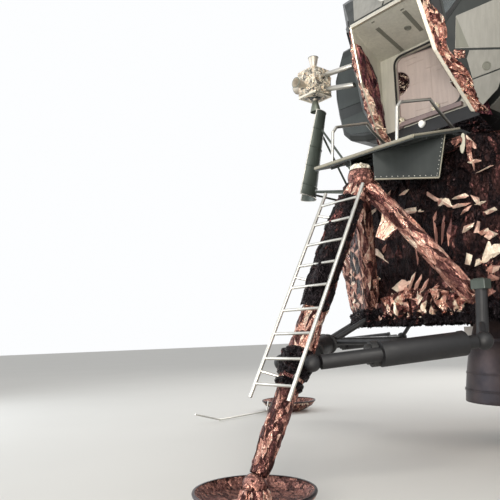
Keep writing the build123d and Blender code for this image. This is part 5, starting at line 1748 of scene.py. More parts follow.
@dataclass(frozen=True)
class Hatch:
    """Dressing of the forward hatch, which rides on it: pockets, ridges, handle and its inner side."""

    swing: float = math.radians(10)
    hinge: Pair = (-0.396, -1.533)
    face_height: float = 0.063
    thick: float = 0.045
    low: float = 3.778
    high: float = 4.562
    left: float = -0.002
    right: float = 0.794
    pocket_up: float = 4.25
    pocket: float = 0.145
    body: str = "forward_hatch"

    def spot(self) -> Spot:
        """Return the outer face's plane, with the hinge line at nought across.

        Returns:
            The plane.
        """
        c, s = cos(self.swing), sin(self.swing)
        origin = Vector((*self.hinge, 0)) + Vector((s, -c, 0)) * self.face_height
        return Spot(origin, Vector((c, s, 0)), UP)

    def build(self) -> None:
        """Make the hatch's pieces."""
        spot = self.spot()
        self.outside(spot)
        self.pockets(spot)
        self.inside(spot)

    def outside(self, spot: Spot) -> None:
        """Make the ridges, crease and handle of the outer face.

        Args:
            spot: Plane of the outer face.
        """
        ridges, grip = Soup(), Soup()
        for u0, v0, u1, v1 in ((0.10, 4.505, 0.24, 4.515), (0.13, 4.44, 0.33, 4.455), (0.36, 4.33, 0.50, 4.34),
                               (0.47, 4.27, 0.62, 4.28), (0.20, 3.86, 0.58, 3.862)):
            ridges.bar(spot.at(u0, v0, 0.001), spot.at(u1, v1, 0.001), 0.005, 8)
        ridges.bar(spot.at(0.405, 3.80), spot.at(0.405, 4.53), 0.0035, 8)
        ridges.rivets(spot, (0.06, 3.80), (0.74, 3.80), 0.075).rivets(spot, (0.08, 4.54), (0.72, 4.54), 0.075)
        ridges.piece("hatch_ridges", Finish.HATCH_PANEL, self.body)
        corners = [spot.at(u, 4.06, height)
                   for u, height in ((0.64, 0), (0.64, 0.045), (0.72, 0.045), (0.72, 0))]
        for start, end in zip(corners, corners[1:]):
            grip.bar(start, end, 0.008, 12)
        grip.piece("hatch_handle", Finish.TUBE, self.body)
        Soup().ring(spot, rounded(self.left, self.low, self.right, self.high, 0.085),
                    rounded(self.left + 0.012, self.low + 0.012, self.right - 0.012, self.high - 0.012, 0.075),
                    0.0, 0.003).piece("hatch_rim", Finish.SILL, self.body)

    def arc(self, middle: Pair, radius: float, turn: float) -> list[Pair]:
        """Return half a circle of thirteen points, from a middle, a radius and its first angle."""
        return [(middle[0] + radius * cos(turn + pi * i / 12), middle[1] + radius * sin(turn + pi * i / 12))
                for i in range(13)]

    def pockets(self, spot: Spot) -> None:
        """Fill both side pockets with dark crumpled foil.

        Args:
            spot: Plane of the outer face.
        """
        for name, middle, turn in (("right", self.left, -pi / 2), ("left", self.right, pi / 2)):
            rim = self.arc((middle, self.pocket_up), self.pocket, turn)
            Crumple(0.030, 0.016, 1.0, 0.5, 3, 270).sheet(spot.shifted(0, 0, -0.019), rim, 0.42, 0.001).piece(
                f"pocket_foil_{name}", Finish.POCKET_FOIL, self.body)
            lip = Soup()
            for start, end in zip(rim, rim[1:]):
                lip.bar(spot.at(*start), spot.at(*end), 0.004, 8)
            lip.piece(f"pocket_lip_{name}", Finish.SILL, self.body)
        Crumple(0.030, 0.012, 1.0, 0.5, 3, 271).sheet(
            spot, self.arc((self.right, 4.11), 0.170, pi / 2), 0.36, 0.001).piece(
            "pocket_patch", Finish.POCKET_FOIL, self.body)

    def inside(self, spot: Spot) -> None:
        """Make the inner side's ribs, valve and lever.

        Args:
            spot: Plane of the outer face.
        """
        back = Spot(spot.at(0, 0, -self.thick), -spot.across, UP)
        ribs = Soup()
        for v in (3.90, 4.12, 4.38):
            ribs.slab(back, box(-0.74, v, -0.06, v + 0.03), 0.0, 0.014)
        for u in (-0.70, -0.40, -0.12):
            ribs.slab(back, box(u, 3.82, u + 0.03, 4.52), 0.0, 0.012)
        ribs.piece("hatch_ribs", Finish.CABIN_PAINT, self.body, bevel=0.002)
        lever = Soup().lathe(back.shifted(-0.55, 4.25),
                             [(0.06, 0.0), (0.06, 0.02), (0.03, 0.03), (0.03, 0.045), (0.0, 0.045)], 24)
        lever.bar(back.at(-0.55, 4.25, 0.04), back.at(-0.42, 4.19, 0.04), 0.010)
        lever.piece("hatch_lever", Finish.TUBE, self.body)


@dataclass(frozen=True)
class FrontFaces:
    """Panels, dark window surrounds, tabs and vents on both slanted faces, the brow and the crown."""

    window: tuple[Pair, ...] = ((0.590, 4.450), (0.590, 4.830), (0.975, 5.120))
    surround: tuple[Pair, ...] = ((0.500, 4.360), (0.530, 4.905), (1.060, 5.235))
    # Light panels anticlockwise as seen on the crew's left: above the bend, then below it
    panels: tuple[tuple[Pair, ...], ...] = (
        ((0.612, 4.160), (1.065, 4.160), (1.150, 4.600), (1.158, 4.790), (0.860, 4.607), (0.658, 4.488)),
        ((0.666, 4.062), (0.700, 4.140), (1.020, 4.140), (0.900, 3.985), (0.660, 3.872)),
        ((0.648, 3.855), (0.885, 3.965), (0.800, 3.770), (0.655, 3.600)))
    thick: float = 0.005

    def build(self) -> None:
        """Make every panel of the cabin's front."""
        for side, name in ((1, "left"), (-1, "right")):
            self.face(side, name)
        self.brow()
        self.crown()

    def polygon(self, side: int, rows: Outline) -> tuple[Spot, list[Pair]]:
        """Place an outline on a slanted face.

        Args:
            side: 1 on the crew's left, -1 on their right.
            rows: Its corners, across from the cabin's middle and up.

        Returns:
            The face's plane and the outline on it, anticlockwise.
        """
        spot = face_spot(side, sum(z for _, z in rows) / len(rows))
        outline = [spot.of(on_face(side, side * x, z)) for x, z in rows]
        if side < 0:
            outline.reverse()
        return spot, outline

    def face(self, side: int, name: str) -> None:
        """Dress one slanted face.

        Args:
            side: 1 on the crew's left, -1 on their right.
            name: Name of the side.
        """
        plating = Plating(self.thick)
        for rows in self.panels:
            plating.lay(f"face_panels_{name}", *self.polygon(side, rows))
        # The crew's right face is given painted shade
        plating.pieces(f"face_rivets_{name}", Finish.GREY_PANEL if side > 0 else Finish.SHADE_PANEL)
        spot, outer = self.polygon(side, self.surround)
        _, inner = self.polygon(side, self.window)
        Soup().ring(spot, outer, inner, 0.0, 0.012).piece(f"window_surround_{name}", Finish.BLACK_PAINT,
                                                          bevel=0.002)
        Soup().ring(spot, shrunk(inner, -0.0224), inner, 0.012, 0.020).piece(
            f"window_frame_{name}", Finish.DARK_PANEL, bevel=0.002)
        spot, outline = self.polygon(side, ((0.616, 4.168), (0.700, 4.168), (0.659, 4.475)))
        Soup().slab(spot, outline, self.thick, self.thick + 0.003).piece(
            f"face_plate_{name}", Finish.STRIPE if side > 0 else Finish.DARK_PANEL)
        spot, outline = self.polygon(side, ((0.590, 4.070), (0.655, 4.068), (0.672, 4.140), (0.600, 4.146)))
        Crumple(0.02, 0.012, 1.0, 0.4, 3, 300 + side).sheet(spot, outline, 0.5).piece(
            f"face_tab_{name}", Finish.COPPER_WRAP)
        spot = face_spot(side, 3.99)
        Soup().lathe(Spot(on_face(side, side * 0.776, 3.99), spot.across, spot.up),
                     [(0.045, 0.004), (0.045, 0.010), (0.034, 0.011), (0.030, 0.006), (0.0, 0.006)], 24).piece(
            f"face_vent_{name}", Finish.STRIPE)

    def brow(self) -> None:
        """Make the panels of the brow, above the recess."""
        spot = Spot(Vector((0, -2.34, 4.76)), LEFT, Vector((0, 0.4, 1)).normalized())
        plating = Plating(self.thick)
        for outline in (((-0.40, 0.06), (-0.012, 0.06), (-0.012, 0.46), (-0.52, 0.46)),
                        ((0.012, 0.06), (0.40, 0.06), (0.52, 0.46), (0.012, 0.46))):
            plating.lay("brow_panels", spot, outline)
        plating.pieces("brow_rivets", Finish.GREY_PANEL)

    def crown(self) -> None:
        """Make the panels of the crown, above the brow."""
        spot = Spot(Vector((0, -2.16, 5.20)), LEFT, Vector((0, 1.15, 1)).normalized())
        plating = Plating(self.thick)
        for name, outline in (
                ("crown_panels", ((-0.52, 0.03), (-0.012, 0.03), (-0.012, 0.42), (-0.70, 0.42), (-0.74, 0.33))),
                ("crown_panels", ((0.012, 0.03), (0.52, 0.03), (0.74, 0.33), (0.70, 0.42), (0.012, 0.42))),
                ("crown_rear_panel", ((-0.68, 0.445), (0.68, 0.445), (0.42, 0.80), (-0.42, 0.80)))):
            plating.lay(name, spot, outline)
        plating.pieces("crown_rivets", Finish.GREY_PANEL, crown_rear_panel=Finish.SHADE_PANEL)


@dataclass(frozen=True)
class Shell:
    """Curved panels round the cabin's cylinder, between its front faces and the midsection."""

    radius: float = 1.168
    axis_up: float = 4.699
    thick: float = 0.006
    steps: int = 8
    rows: tuple[Pair, ...] = ((-1.36, -1.055), (-1.035, -0.70))
    # Start and end of each panel round the cylinder in degrees from the crew's left, and its piece; 'shade' is
    # painted shade on the crew's right
    sectors: tuple[tuple[float, float, str], ...] = (
        (-88, -62, "dark"), (-60, -34, "grey"), (-32, -4, "grey"), (-2, 26, "grey"), (28, 54, "grey"),
        (76, 104, "dark"), (106, 132, "grey"), (134, 160, "shade"), (162, 188, "shade"), (190, 216, "shade"),
        (218, 242, "shade"), (244, 268, "dark"))

    def build(self) -> None:
        """Make the shell's panels, rivets and the docking window's frame."""
        finishes = {"dark": Finish.BLACK_PAINT, "grey": Finish.GREY_PANEL, "shade": Finish.SHADE_PANEL}
        soups = {name: Soup() for name in finishes}
        heads = Soup()
        for start, end, name in self.sectors:
            for y0, y1 in self.rows:
                self.curved(soups[name], (math.radians(start), math.radians(end)), (y0, y1))
                for share in (0.06, 0.94):
                    angle = math.radians(start + (end - start) * share)
                    middle = Vector((cos(angle), 0, sin(angle)))
                    spot = Spot(UP * self.axis_up + middle * (self.radius + self.thick), AFT, middle.cross(AFT))
                    heads.rivets(spot, (y0 + 0.02, 0), (y1 - 0.02, 0), 0.07, 0.004)
        for name, soup in soups.items():
            soup.piece(f"shell_panels_{name}", finishes[name])
        heads.piece("shell_rivets", Finish.GREY_PANEL)
        spot = Spot(Vector((0.5, -1.08, 5.755)), Vector((1, 0, -0.42)).normalized(), AFT)
        Soup().ring(spot, rounded(-0.105, -0.185, 0.105, 0.185, 0.04),
                    rounded(-0.078, -0.155, 0.078, 0.155, 0.015), -0.03, 0.012).piece(
            "docking_window_frame", Finish.TUBE, bevel=0.002)

    def curved(self, soup: Soup, angles: Pair, ends: Pair) -> None:
        """Add one curved panel with closed edges.

        Args:
            soup: Soup that it joins.
            angles: Its first and last angle round the cylinder.
            ends: Its first and last place along the vehicle.
        """
        points = []
        for i in range(self.steps + 1):
            angle = angles[0] + (angles[1] - angles[0]) * i / self.steps
            points += [Vector((radius * cos(angle), y, self.axis_up + radius * sin(angle)))
                       for radius in (self.radius + 0.0005, self.radius + self.thick) for y in ends]
        last = 4 * self.steps
        faces = [(0, 2, 3, 1), (last, last + 1, last + 3, last + 2)]
        for a in range(0, last, 4):
            faces += [(a + 2, a + 6, a + 7, a + 3), (a, a + 1, a + 5, a + 4), (a, a + 4, a + 6, a + 2),
                      (a + 1, a + 3, a + 7, a + 5)]
        soup.add(points, faces)


@dataclass(frozen=True)
class Bays:
    """Panels of the tank bays, the aft equipment bay and the midsection."""

    thick: float = 0.008
    bevel: float = 0.002
    middle: float = 1.05
    axis_up: float = 4.699
    front: float = -1.0
    rear: float = 0.64
    reaches: tuple[tuple[str, int, float], ...] = (("left", 1, 2.34), ("right", -1, 1.95))
    outline: tuple[Pair, ...] = ((0.0, -0.760), (0.43, -0.720), (0.75, -0.634), (0.88, -0.519), (0.95, -0.234),
                                 (1.0, 0.061), (1.0, 0.336), (0.8, 0.740), (0.4, 0.750), (0.0, 0.521))
    aft: tuple[Pair, ...] = ((0.686, -1.299), (1.560, -1.269), (1.750, -1.059), (1.750, 0.281), (1.500, 0.601),
                             (0.686, 0.861))
    aft_half: float = 1.22

    def build(self) -> None:
        """Make the panels of every bay."""
        for name, side, reach in self.reaches:
            self.tank_bay(name, side, reach)
        self.aft_bay()
        self.rack()
        self.roof()

    def tank_bay(self, name: str, side: int, reach: float) -> None:
        """Cover one tank bay.

        Args:
            name: Name of the side.
            side: 1 on the crew's left, -1 on their right.
            reach: How far out the bay goes.
        """
        # The crew's right bay is given painted shade
        grey = Finish.GREY_PANEL if side > 0 else Finish.SHADE_PANEL
        light, dark = f"tank_bay_panels_{name}", f"tank_bay_dark_panels_{name}"
        plating = Plating(self.thick, self.bevel)
        corners = [Vector((side * (self.middle + share * (reach - self.middle)), 0, self.axis_up + up))
                   for share, up in self.outline]
        for i, (a, b) in enumerate(zip(corners, corners[1:])):
            length = (b - a).length
            if length < 0.1:
                continue
            spot = Spot(a if side > 0 else b, (b - a).normalized() * side, -AFT)
            for y0, y1 in ((-0.92, -0.20), (-0.18, 0.56)):
                plating.lay(dark if i in (0, 1, 8) else light, spot, box(0.008, -y1, length - 0.008, -y0),
                            0.02, 0.09)
        for y, way in ((self.front, 1), (self.rear, -1)):
            spot = Spot(AFT * y, LEFT * way, UP)
            for low, high in ((3.99, 4.44), (4.465, 5.38)):
                cut = clipped([(c.x * way, c.z) for c in corners], low, high)
                plating.lay(f"tank_bay_ends_{name}", spot, shrunk(cut, 0.075), 0.02, 0.09)
        plating.pieces(f"tank_bay_rivets_{name}", grey, **{dark: Finish.DARK_PANEL})

    def aft_bay(self) -> None:
        """Cover the aft bay: plates on its slopes and both sides."""
        plating = Plating(self.thick, self.bevel)
        corners = [Vector((0, y, self.axis_up + up)) for y, up in self.aft]
        third = 2 * self.aft_half / 3
        for i, (a, b) in enumerate(zip(corners, corners[1:])):
            for k in range(3):
                spot = Spot(a + LEFT * (self.aft_half - k * third), -LEFT, (b - a).normalized())
                name = "aft_bay_dark_panels" if i in (0, 2) or (i == 3 and k == 1) else "aft_bay_panels"
                plating.lay(name, spot, box(0.010, 0.010, third - 0.010, (b - a).length - 0.010), 0.022, 0.09)
        for side in (1, -1):
            spot = Spot(LEFT * side * self.aft_half, AFT * side, UP)
            full = [(c.y * side, c.z) for c in corners][::side]
            for low, high in ((3.42, 4.45), (4.475, 5.54)):
                plating.lay("aft_bay_panels", spot, shrunk(clipped(full, low, high), 0.02), 0.022, 0.09)
        plating.pieces("aft_bay_rivets", Finish.GREY_PANEL, aft_bay_dark_panels=Finish.DARK_PANEL)

    def rack(self) -> None:
        """Make the equipment boxes and cold plates on the aft bay's flat face."""
        spot = Spot(AFT * (self.aft[2][0] + self.thick), -LEFT, UP)
        boxes, fins, rails = Soup(), Soup(), Soup()
        for row, (low, high) in enumerate(((3.72, 4.02), (4.08, 4.36), (4.42, 4.68), (4.74, 4.94))):
            for k in range(6):
                wide = (0.30, 0.34, 0.26)[(k + row) % 3]
                u = -1.03 + k * 0.41 - wide / 2
                boxes.slab(spot, box(u, low, u + wide, high), 0.0, 0.030 + 0.012 * ((k + row) % 2))
                for j in range(6):
                    v = low + (high - low) * (j + 0.5) / 6
                    fins.bar(spot.at(u + 0.02, v, 0.044), spot.at(u + wide - 0.02, v, 0.044), 0.0035, 6)
        for u in (-1.19, -0.405, 0.405, 1.19):
            rails.slab(spot, box(u - 0.014, 3.66, u + 0.014, 4.96), 0.0, 0.048)
        boxes.piece("rack_boxes", Finish.WHITE_PAINT, bevel=0.004)
        fins.piece("rack_fins", Finish.TUBE)
        rails.piece("rack_rails", Finish.SHADE_PANEL, bevel=0.002)

    def roof(self) -> None:
        """Make the plates on the midsection's roof round the tunnel and on its slopes, and the latches."""
        plating = Plating(self.thick, self.bevel)
        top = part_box("midsection")[1].z
        for outline in (box(-0.55, -0.63, -0.01, -0.50), box(0.01, -0.63, 0.55, -0.50),
                        box(-0.55, 0.50, 0.55, 0.67)):
            plating.lay("roof_panels", level(UP * top), outline, 0.016, 0.08)
        for side in (-1, 1):
            low, high = Vector((side * 1.05, 0, 5.22)), Vector((side * 0.57, 0, top))
            slope = Spot(low, AFT * side, (high - low).normalized())
            for y0, y1 in ((-0.62, 0.0), (0.02, 0.66)):
                a, b = sorted((y0 * side, y1 * side))
                plating.lay("roof_panels", slope, box(a, 0.02, b, (high - low).length - 0.02), 0.02, 0.08)
        plating.pieces("roof_rivets", Finish.GREY_PANEL)
        ring = Soup()
        collar = level(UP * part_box("docking_tunnel")[1].z)
        for k in range(12):
            angle = math.radians(30 * k + 15)
            middle = collar.at(0.443 * cos(angle), 0.443 * sin(angle), -0.03)
            ring.bar(middle, middle - UP * 0.05, 0.014, 12)
        ring.lathe(collar, box(0.482, -0.10, 0.488, -0.13), 64)
        ring.piece("tunnel_latches", Finish.TUBE)


@dataclass(frozen=True)
class Thrusters:
    """Foil on the thruster housings, dark lower nozzles, and the deflectors' edges and ribs."""

    place: float = 1.679
    middle: float = 4.699
    half: float = 0.150
    tall: float = 0.185
    deflector_top: Pair = (2.360, 4.300)
    deflector_foot: Pair = (2.625, 3.140)
    deflector_radii: Pair = (0.125, 0.205)

    def build(self) -> None:
        """Dress the four clusters and their deflectors."""
        for index, (x, y, name) in enumerate(((-1, -1, "front_right"), (1, -1, "front_left"),
                                              (-1, 1, "rear_right"), (1, 1, "rear_left"))):
            middle = Vector((x * self.place, y * self.place, self.middle))
            self.housing(name, middle, index)
            self.nozzles(name, middle, x, y)
            self.deflector(name, math.atan2(y, x))

    def housing(self, name: str, middle: Vector, index: int) -> None:
        """Wrap one housing in foil, with a plain edge below.

        Args:
            name: Name of the cluster.
            middle: Middle of its housing.
            index: Its number, which seeds the foil.
        """
        foil = Soup()
        for k in range(4):
            way = Vector((cos(k * pi / 2), sin(k * pi / 2), 0))
            spot = Spot(middle + way * self.half, Vector((-way.y, way.x, 0)), UP)
            foil.join(Crumple(0.042, 0.026, 1.4, 0.45, 3, 400 + 10 * index + k).sheet(
                spot, box(-0.158, -self.tall, 0.158, self.tall), 0.66, 0.003))
        lid = Crumple(0.05, 0.012, 1.0, 0.4, 2, 440 + index)
        square = box(-0.15, -0.15, 0.15, 0.15)
        foil.join(lid.sheet(level(middle + UP * self.tall), square, 0.25, 0.002))
        foil.join(lid.sheet(facing_down(middle - UP * self.tall), square, 0.5, 0.002))
        foil.piece(f"cluster_foil_{name}", Finish.SILVER_WRAP)
        Soup().ring(level(middle - UP * (self.tall + 0.006)), rounded(-0.165, -0.165, 0.165, 0.165, 0.02),
                    rounded(-0.140, -0.140, 0.140, 0.140, 0.012), 0.0, 0.022).piece(
            f"cluster_edge_{name}", Finish.EDGE_TRIM, bevel=0.002)

    def nozzles(self, name: str, middle: Vector, x: int, y: int) -> None:
        """Make the dark lower nozzle, and the throats, rims and collars of the others.

        Args:
            name: Name of the cluster.
            middle: Middle of its housing.
            x: 1 on the crew's left, -1 on their right.
            y: 1 at the rear, -1 at the front.
        """
        mouth = facing_down(middle - UP * (self.tall + 0.205))
        dark = Soup().lathe(mouth, [(0.054, -0.085), (0.0715, 0.0), (0.0715, 0.002), (0.062, 0.002),
                                    (0.043, -0.085)], 32)
        dark.lathe(mouth, [(0.034, -0.155), (0.054, -0.085)], 32)
        dark.piece(f"lower_nozzle_{name}", Finish.THRUSTER_DARK, smooth=True)
        throats, collars = Soup(), Soup()
        for way, lift, shift in ((UP, self.tall, 0.0), (LEFT * x, self.half, 0.06),
                                 (AFT * y, self.half, -0.06)):
            across = LEFT if way == UP else UP
            spot = Spot(middle + UP * shift + way * (lift + 0.12), across, way.cross(across))
            throats.lathe(spot, [(0.042, 0.0), (0.0, 0.0)], 24)
            throats.lathe(spot.shifted(0, 0, 0.084),
                          [(0.071, -0.004), (0.073, 0.0), (0.071, 0.002), (0.063, 0.002)], 32)
        throats.piece(f"nozzle_throats_{name}", Finish.THRUSTER_DARK)
        for way in (-1, 1):
            spot = Spot(middle + UP * way * (self.tall + 0.006), LEFT, AFT * way)
            collars.lathe(spot, [(0.075, 0.0), (0.070, 0.016), (0.042, 0.020)], 28)
        collars.piece(f"nozzle_collars_{name}", Finish.SHADE_PANEL)

    def deflector(self, name: str, azimuth: float) -> None:
        """Give one deflector its rolled edges and cross ribs.

        Args:
            name: Name of the cluster above it.
            azimuth: Its way round the vehicle.
        """
        top = leg_point(azimuth, self.deflector_top[0], 0, self.deflector_top[1])
        foot = leg_point(azimuth, self.deflector_foot[0], 0, self.deflector_foot[1])
        side = leg_point(azimuth, 0, 1, 0)
        out = side.cross((foot - top).normalized())
        if out.dot(leg_point(azimuth, 1, 0, 0)) < 0:
            out = -out
        small, large = self.deflector_radii
        edges, ribs = Soup(), Soup()
        for hand in (-1, 1):
            edges.bar(top + side * hand * (small - 0.006), foot + side * hand * (large - 0.006), 0.008)
        for share in (0.0, 0.22, 0.44, 0.66, 0.88, 1.0):
            radius = small + (large - small) * share + 0.002
            middle = top + (foot - top) * share
            points = [middle + side * radius * cos(pi * i / 14) - out * radius * sin(pi * i / 14)
                      for i in range(15)]
            for a, b in zip(points, points[1:]):
                (edges if share in (0.0, 1.0) else ribs).bar(a, b, 0.006, 8)
        edges.piece(f"deflector_edges_{name}", Finish.TUBE)
        ribs.piece(f"deflector_ribs_{name}", Finish.GREEN_GREY)


@dataclass(frozen=True)
class Porch:
    """The porch's ridged tread, edge trim, fastener rows and its underside."""

    half: float = 0.62
    front: Pair = (-2.835, 3.072)
    bend: Pair = (-2.050, 3.300)
    rear: Pair = (-1.640, 3.300)

    def build(self) -> None:
        """Make the porch's pieces."""
        tread, trim, dots = Soup(), Soup(), Soup()
        rows = (self.front, self.bend, self.rear)
        for (y0, z0), (y1, z1) in zip(rows, rows[1:]):
            for k in range(31):
                x = -0.57 + 0.038 * k
                tread.bar(Vector((x, y0 + 0.02, z0 + 0.004)), Vector((x, y1 - 0.005, z1 + 0.004)), 0.007, 6)
        y, z = self.front
        trim.bar(Vector((-self.half, y + 0.004, z - 0.004)), Vector((self.half, y + 0.004, z - 0.004)),
                 0.018, 12)
        for y, z in ((-2.60, 3.10), (-2.35, 3.172), (-2.10, 3.245)):
            tread.bar(Vector((-0.60, y, z)), Vector((0.60, y, z)), 0.012)
        for side in (-1, 1):
            across = side * (self.half - 0.004)
            trim.bar(Vector((across, *self.front)), Vector((across, *self.bend)), 0.012, 12)
            spot = self.skirt(side)
            dots.rivets(spot, (0.12, side * 2.800), (0.71, side * 2.800), 0.055, 0.006)
            dots.rivets(spot, (0.715, side * 2.82), (0.79, side * 3.16), 0.045, 0.006)
            trim.bar(spot.at(0.112, side * 2.776, 0.002), spot.at(0.728, side * 2.776, 0.002), 0.009)
            trim.bar(spot.at(0.730, side * 2.780, 0.002), spot.at(0.818, side * 3.20, 0.002), 0.006, 8)
        tread.piece("porch_tread", Finish.PORCH_PLATE)
        trim.piece("porch_trim", Finish.PORCH_EDGE)
        dots.piece("porch_fasteners", Finish.TUBE)

    def skirt(self, side: int) -> Spot:
        """Return the outer face of a skirt: along it from the apex, and up times its side.

        Args:
            side: 1 on the crew's left, -1 on their right.

        Returns:
            The plane.
        """
        way = Vector((side * 0.621, 0.784, 0)).normalized()
        out = Vector((side * way.y, -abs(way.x), 0))
        return Spot(AFT * -2.847 + out * 0.101, way, UP * side)


@dataclass(frozen=True)
class Rigging:
    """The bright oval fitting and the copper strip beside the porch, and the foil under the cabin's chin."""

    def build(self) -> None:
        """Make the three pieces."""
        angles = [2 * pi * i / 24 for i in range(24)]
        Soup().slab(Spot(Vector((0.662, -2.085, 3.128)), LEFT, UP),
                    [(0.026 * cos(a) + 0.012 * sin(a), 0.10 * sin(a)) for a in angles], 0.0, 0.016).piece(
            "stage_oval_plate", Finish.CREAM_PLATE, bevel=0.004)
        Crumple(0.03, 0.022, 2.4, 0.45, 3, 471).sheet(
            facing_front(-2.075), [(0.685, 2.93), (0.735, 2.93), (0.745, 3.14), (0.700, 3.16)], 0.6).piece(
            "stage_corner_strip", Finish.COPPER_WRAP)
        first = [Vector((x, -1.60, 3.545)) for x in (-0.60, -0.2, 0.2, 0.60)]
        second = [Vector((x, -1.45, 3.34)) for x in (-0.66, -0.2, 0.2, 0.70)]
        Crumple(0.06, 0.06, 2.2, 0.45, 3, 472).between(first, second, Vector((0, -1, -0.5)), 0.42).piece(
            "cabin_chin_foil", Finish.BLACK_SLEEVE)


@dataclass(frozen=True)
class Aerials:
    """Rims, feeds and ribs of both dishes, and the bands of the radar's pedestal."""

    radar: Colour = (0.0, -1.325, 6.68)
    radar_radius: float = 0.305
    steer: Colour = (-1.42, -0.43, 6.44)
    steer_radius: float = 0.33
    steer_deep: float = 0.089

    def build(self) -> None:
        """Make the aerials' details."""
        self.dish("radar_dish", Vector(self.radar), self.radar_radius, 0.09, 0.155)
        x, y, z = self.steer
        front = max((corner.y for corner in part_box("antenna_dish")), key=lambda place: abs(place - y))
        way = -1 if front < y else 1
        self.dish("antenna_dish", Vector((x, front - way * self.steer_deep, z)), self.steer_radius,
                  self.steer_deep, 0.17, way)
        bands = Soup()
        low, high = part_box("radar_pedestal")
        for up in (low.z + 0.10, low.z + 0.24, high.z - 0.08):
            bands.lathe(level(Vector((0, -1.25, up))), box(0.060, -0.010, 0.074, 0.010))
        bands.piece("radar_pedestal_bands", Finish.TUBE)

    def dish(self, body: str, middle: Vector, radius: float, deep: float, feed: float, way: int = -1) -> None:
        """Give one dish its rim, its feed on four struts and the ribs behind it.

        Args:
            body: CAD body that the pieces ride on.
            middle: Bottom of the dish's bowl.
            radius: Radius of its rim.
            deep: Depth of its bowl.
            feed: How far the feed stands in front of the bottom.
            way: Whether it faces along -Y or +Y.
        """
        spot = Spot(middle, LEFT * -way, UP)
        struts, ribs = Soup(), Soup()
        Soup().lathe(spot, [(radius - 0.010, deep - 0.004), (radius - 0.002, deep - 0.006),
                            (radius - 0.001, deep + 0.001), (radius - 0.012, deep + 0.002)], 64).piece(
            f"{body}_rim", Finish.TUBE, body)
        reach = min(feed, deep - 0.002)
        for k in range(4):
            angle = math.radians(45 + 90 * k)
            foot = spot.at(0.72 * radius * cos(angle), 0.72 * radius * sin(angle), 0.52 * deep)
            struts.bar(foot, spot.at(0.03 * cos(angle), 0.03 * sin(angle), reach), 0.006, 8)
        struts.lathe(spot.shifted(0, 0, reach - 0.05),
                     [(0.0, 0.0), (0.026, 0.004), (0.034, 0.03), (0.034, 0.046), (0.0, 0.05)], 24)
        struts.piece(f"{body}_feed", Finish.WHITE_PAINT, body)
        back = Spot(middle, LEFT * way, UP)
        for k in range(8):
            angle = math.radians(45 * k + 22.5)
            points = [back.at(r * radius * cos(angle), r * radius * sin(angle), 0.016 - deep * r * r)
                      for r in (0.25, 0.45, 0.65, 0.85, 0.97)]
            for a, b in zip(points, points[1:]):
                ribs.bar(a, b, 0.006, 8)
        ribs.piece(f"{body}_ribs", Finish.WHITE_PAINT, body)


@dataclass(frozen=True)
class Engine:
    """Bands and liner joints of the descent engine's bell, and the landing radar's panes."""

    bands: tuple[Pair, ...] = ((0.452, 1.575), (0.575, 1.200), (0.650, 0.800), (0.678, 0.600))
    joints: tuple[Pair, ...] = ((0.664, 0.50), (0.622, 0.90), (0.520, 1.30), (0.420, 1.60))

    def build(self) -> None:
        """Make the engine's and the radar's details."""
        bands, liner, panes = Soup(), Soup(), Soup()
        for radius, up in self.bands:
            bands.lathe(level(UP * up), [(radius, -0.014), (radius + 0.006, -0.012), (radius + 0.006, 0.012),
                                         (radius - 0.004, 0.014)], 72)
        bands.piece("bell_bands", Finish.BELL, "descent_engine")
        for radius, up in self.joints:
            liner.lathe(level(UP * 0), [(radius, up + 0.004), (radius - 0.010, up), (radius, up - 0.004)], 72)
        liner.piece("bell_liner_joints", Finish.BELL, "descent_engine")
        low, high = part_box("landing_radar")
        left, front = low.x + 0.06, -high.y + 0.03
        wide, long = (high.x - 0.06 - left) / 2, (-low.y - 0.03 - front) / 2
        for i in range(2):
            for j in range(2):
                u, v = left + wide * i, front + long * j
                panes.slab(facing_down(UP * low.z),
                           box(u + 0.008, v + 0.008, u + wide - 0.008, v + long - 0.008), 0.0, 0.006)
        panes.piece("landing_radar_panes", Finish.CREAM_PLATE, "landing_radar", bevel=0.002)


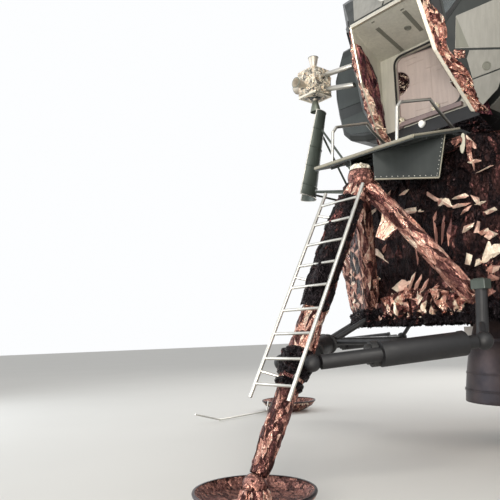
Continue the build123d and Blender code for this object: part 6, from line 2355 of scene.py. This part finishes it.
@dataclass(frozen=True)
class Cockpit:
    """What shows through the windows and the open hatch: instruments, wall panels and the floor's tread."""

    face: float = -1.4647
    low: float = 4.60
    high: float = 5.16
    wall: float = -0.688
    floor: float = 3.745

    def build(self) -> None:
        """Make the cabin's inner details."""
        self.instruments()
        pads, grid = Soup(), Soup()
        for u, v, wide, tall in ((-0.98, 4.30, 0.30, 0.42), (-0.98, 4.78, 0.30, 0.42), (0.68, 4.30, 0.30, 0.42),
                                 (0.68, 4.78, 0.30, 0.42), (-0.45, 5.52, 0.90, 0.18)):
            pads.slab(facing_front(self.wall), box(u, v, u + wide, v + tall), 0.0, 0.03)
        pads.piece("bulkhead_panels", Finish.CREAM_PLATE, bevel=0.010)
        for k in range(9):
            x, z = -0.44 + 0.11 * k, self.floor + 0.002
            grid.bar(Vector((x, -1.45, z)), Vector((x, -0.74, z)), 0.004, 6)
        grid.piece("floor_tread", Finish.TUBE)

    def instruments(self) -> None:
        """Make the instrument plates with their dials and switches."""
        spot = Spot(AFT * self.face, -LEFT, UP)
        plates, dials, knobs = Soup(), Soup(), Soup()
        for u in (-0.43, -0.14, 0.15):
            plates.slab(spot, box(u, self.low + 0.02, u + 0.27, self.high - 0.02), 0.0, 0.006)
            dials.lathe(spot.shifted(u + 0.135, 4.88, 0.006),
                        [(0.062, 0.0), (0.062, 0.012), (0.052, 0.012), (0.050, 0.005), (0.0, 0.005)], 32)
            for v in (4.72, 5.04):
                for k in range(5):
                    foot = spot.at(u + 0.045 + 0.045 * k, v, 0.006)
                    knobs.bar(foot, foot + spot.out * 0.018 + UP * 0.005, 0.004, 8)
        plates.piece("instrument_plates", Finish.CABIN_PAINT, bevel=0.002)
        dials.piece("instrument_dials", Finish.SEAL)
        knobs.piece("instrument_switches", Finish.EDGE_TRIM)


def main() -> None:
    """Build the lander's looks in order."""
    logging.basicConfig(level=logging.INFO, format="%(message)s")
    bpy.context.scene.view_settings.view_transform = "Standard"
    legs = [Leg(name, quarter * pi / 2, index) for index, (name, quarter) in enumerate(LEGS.items())]
    for assembly in (Studio(), CadDressing(), Stage(), *legs, FrontLegExtras(legs[0]), Recess(), Hatch(),
                     FrontFaces(), Shell(), Bays(), Thrusters(), Porch(), Rigging(), Aerials(), Engine(),
                     Cockpit()):
        log.info("building %s", type(assembly).__name__)
        assembly.build()


if __name__ == "__main__":
    main()
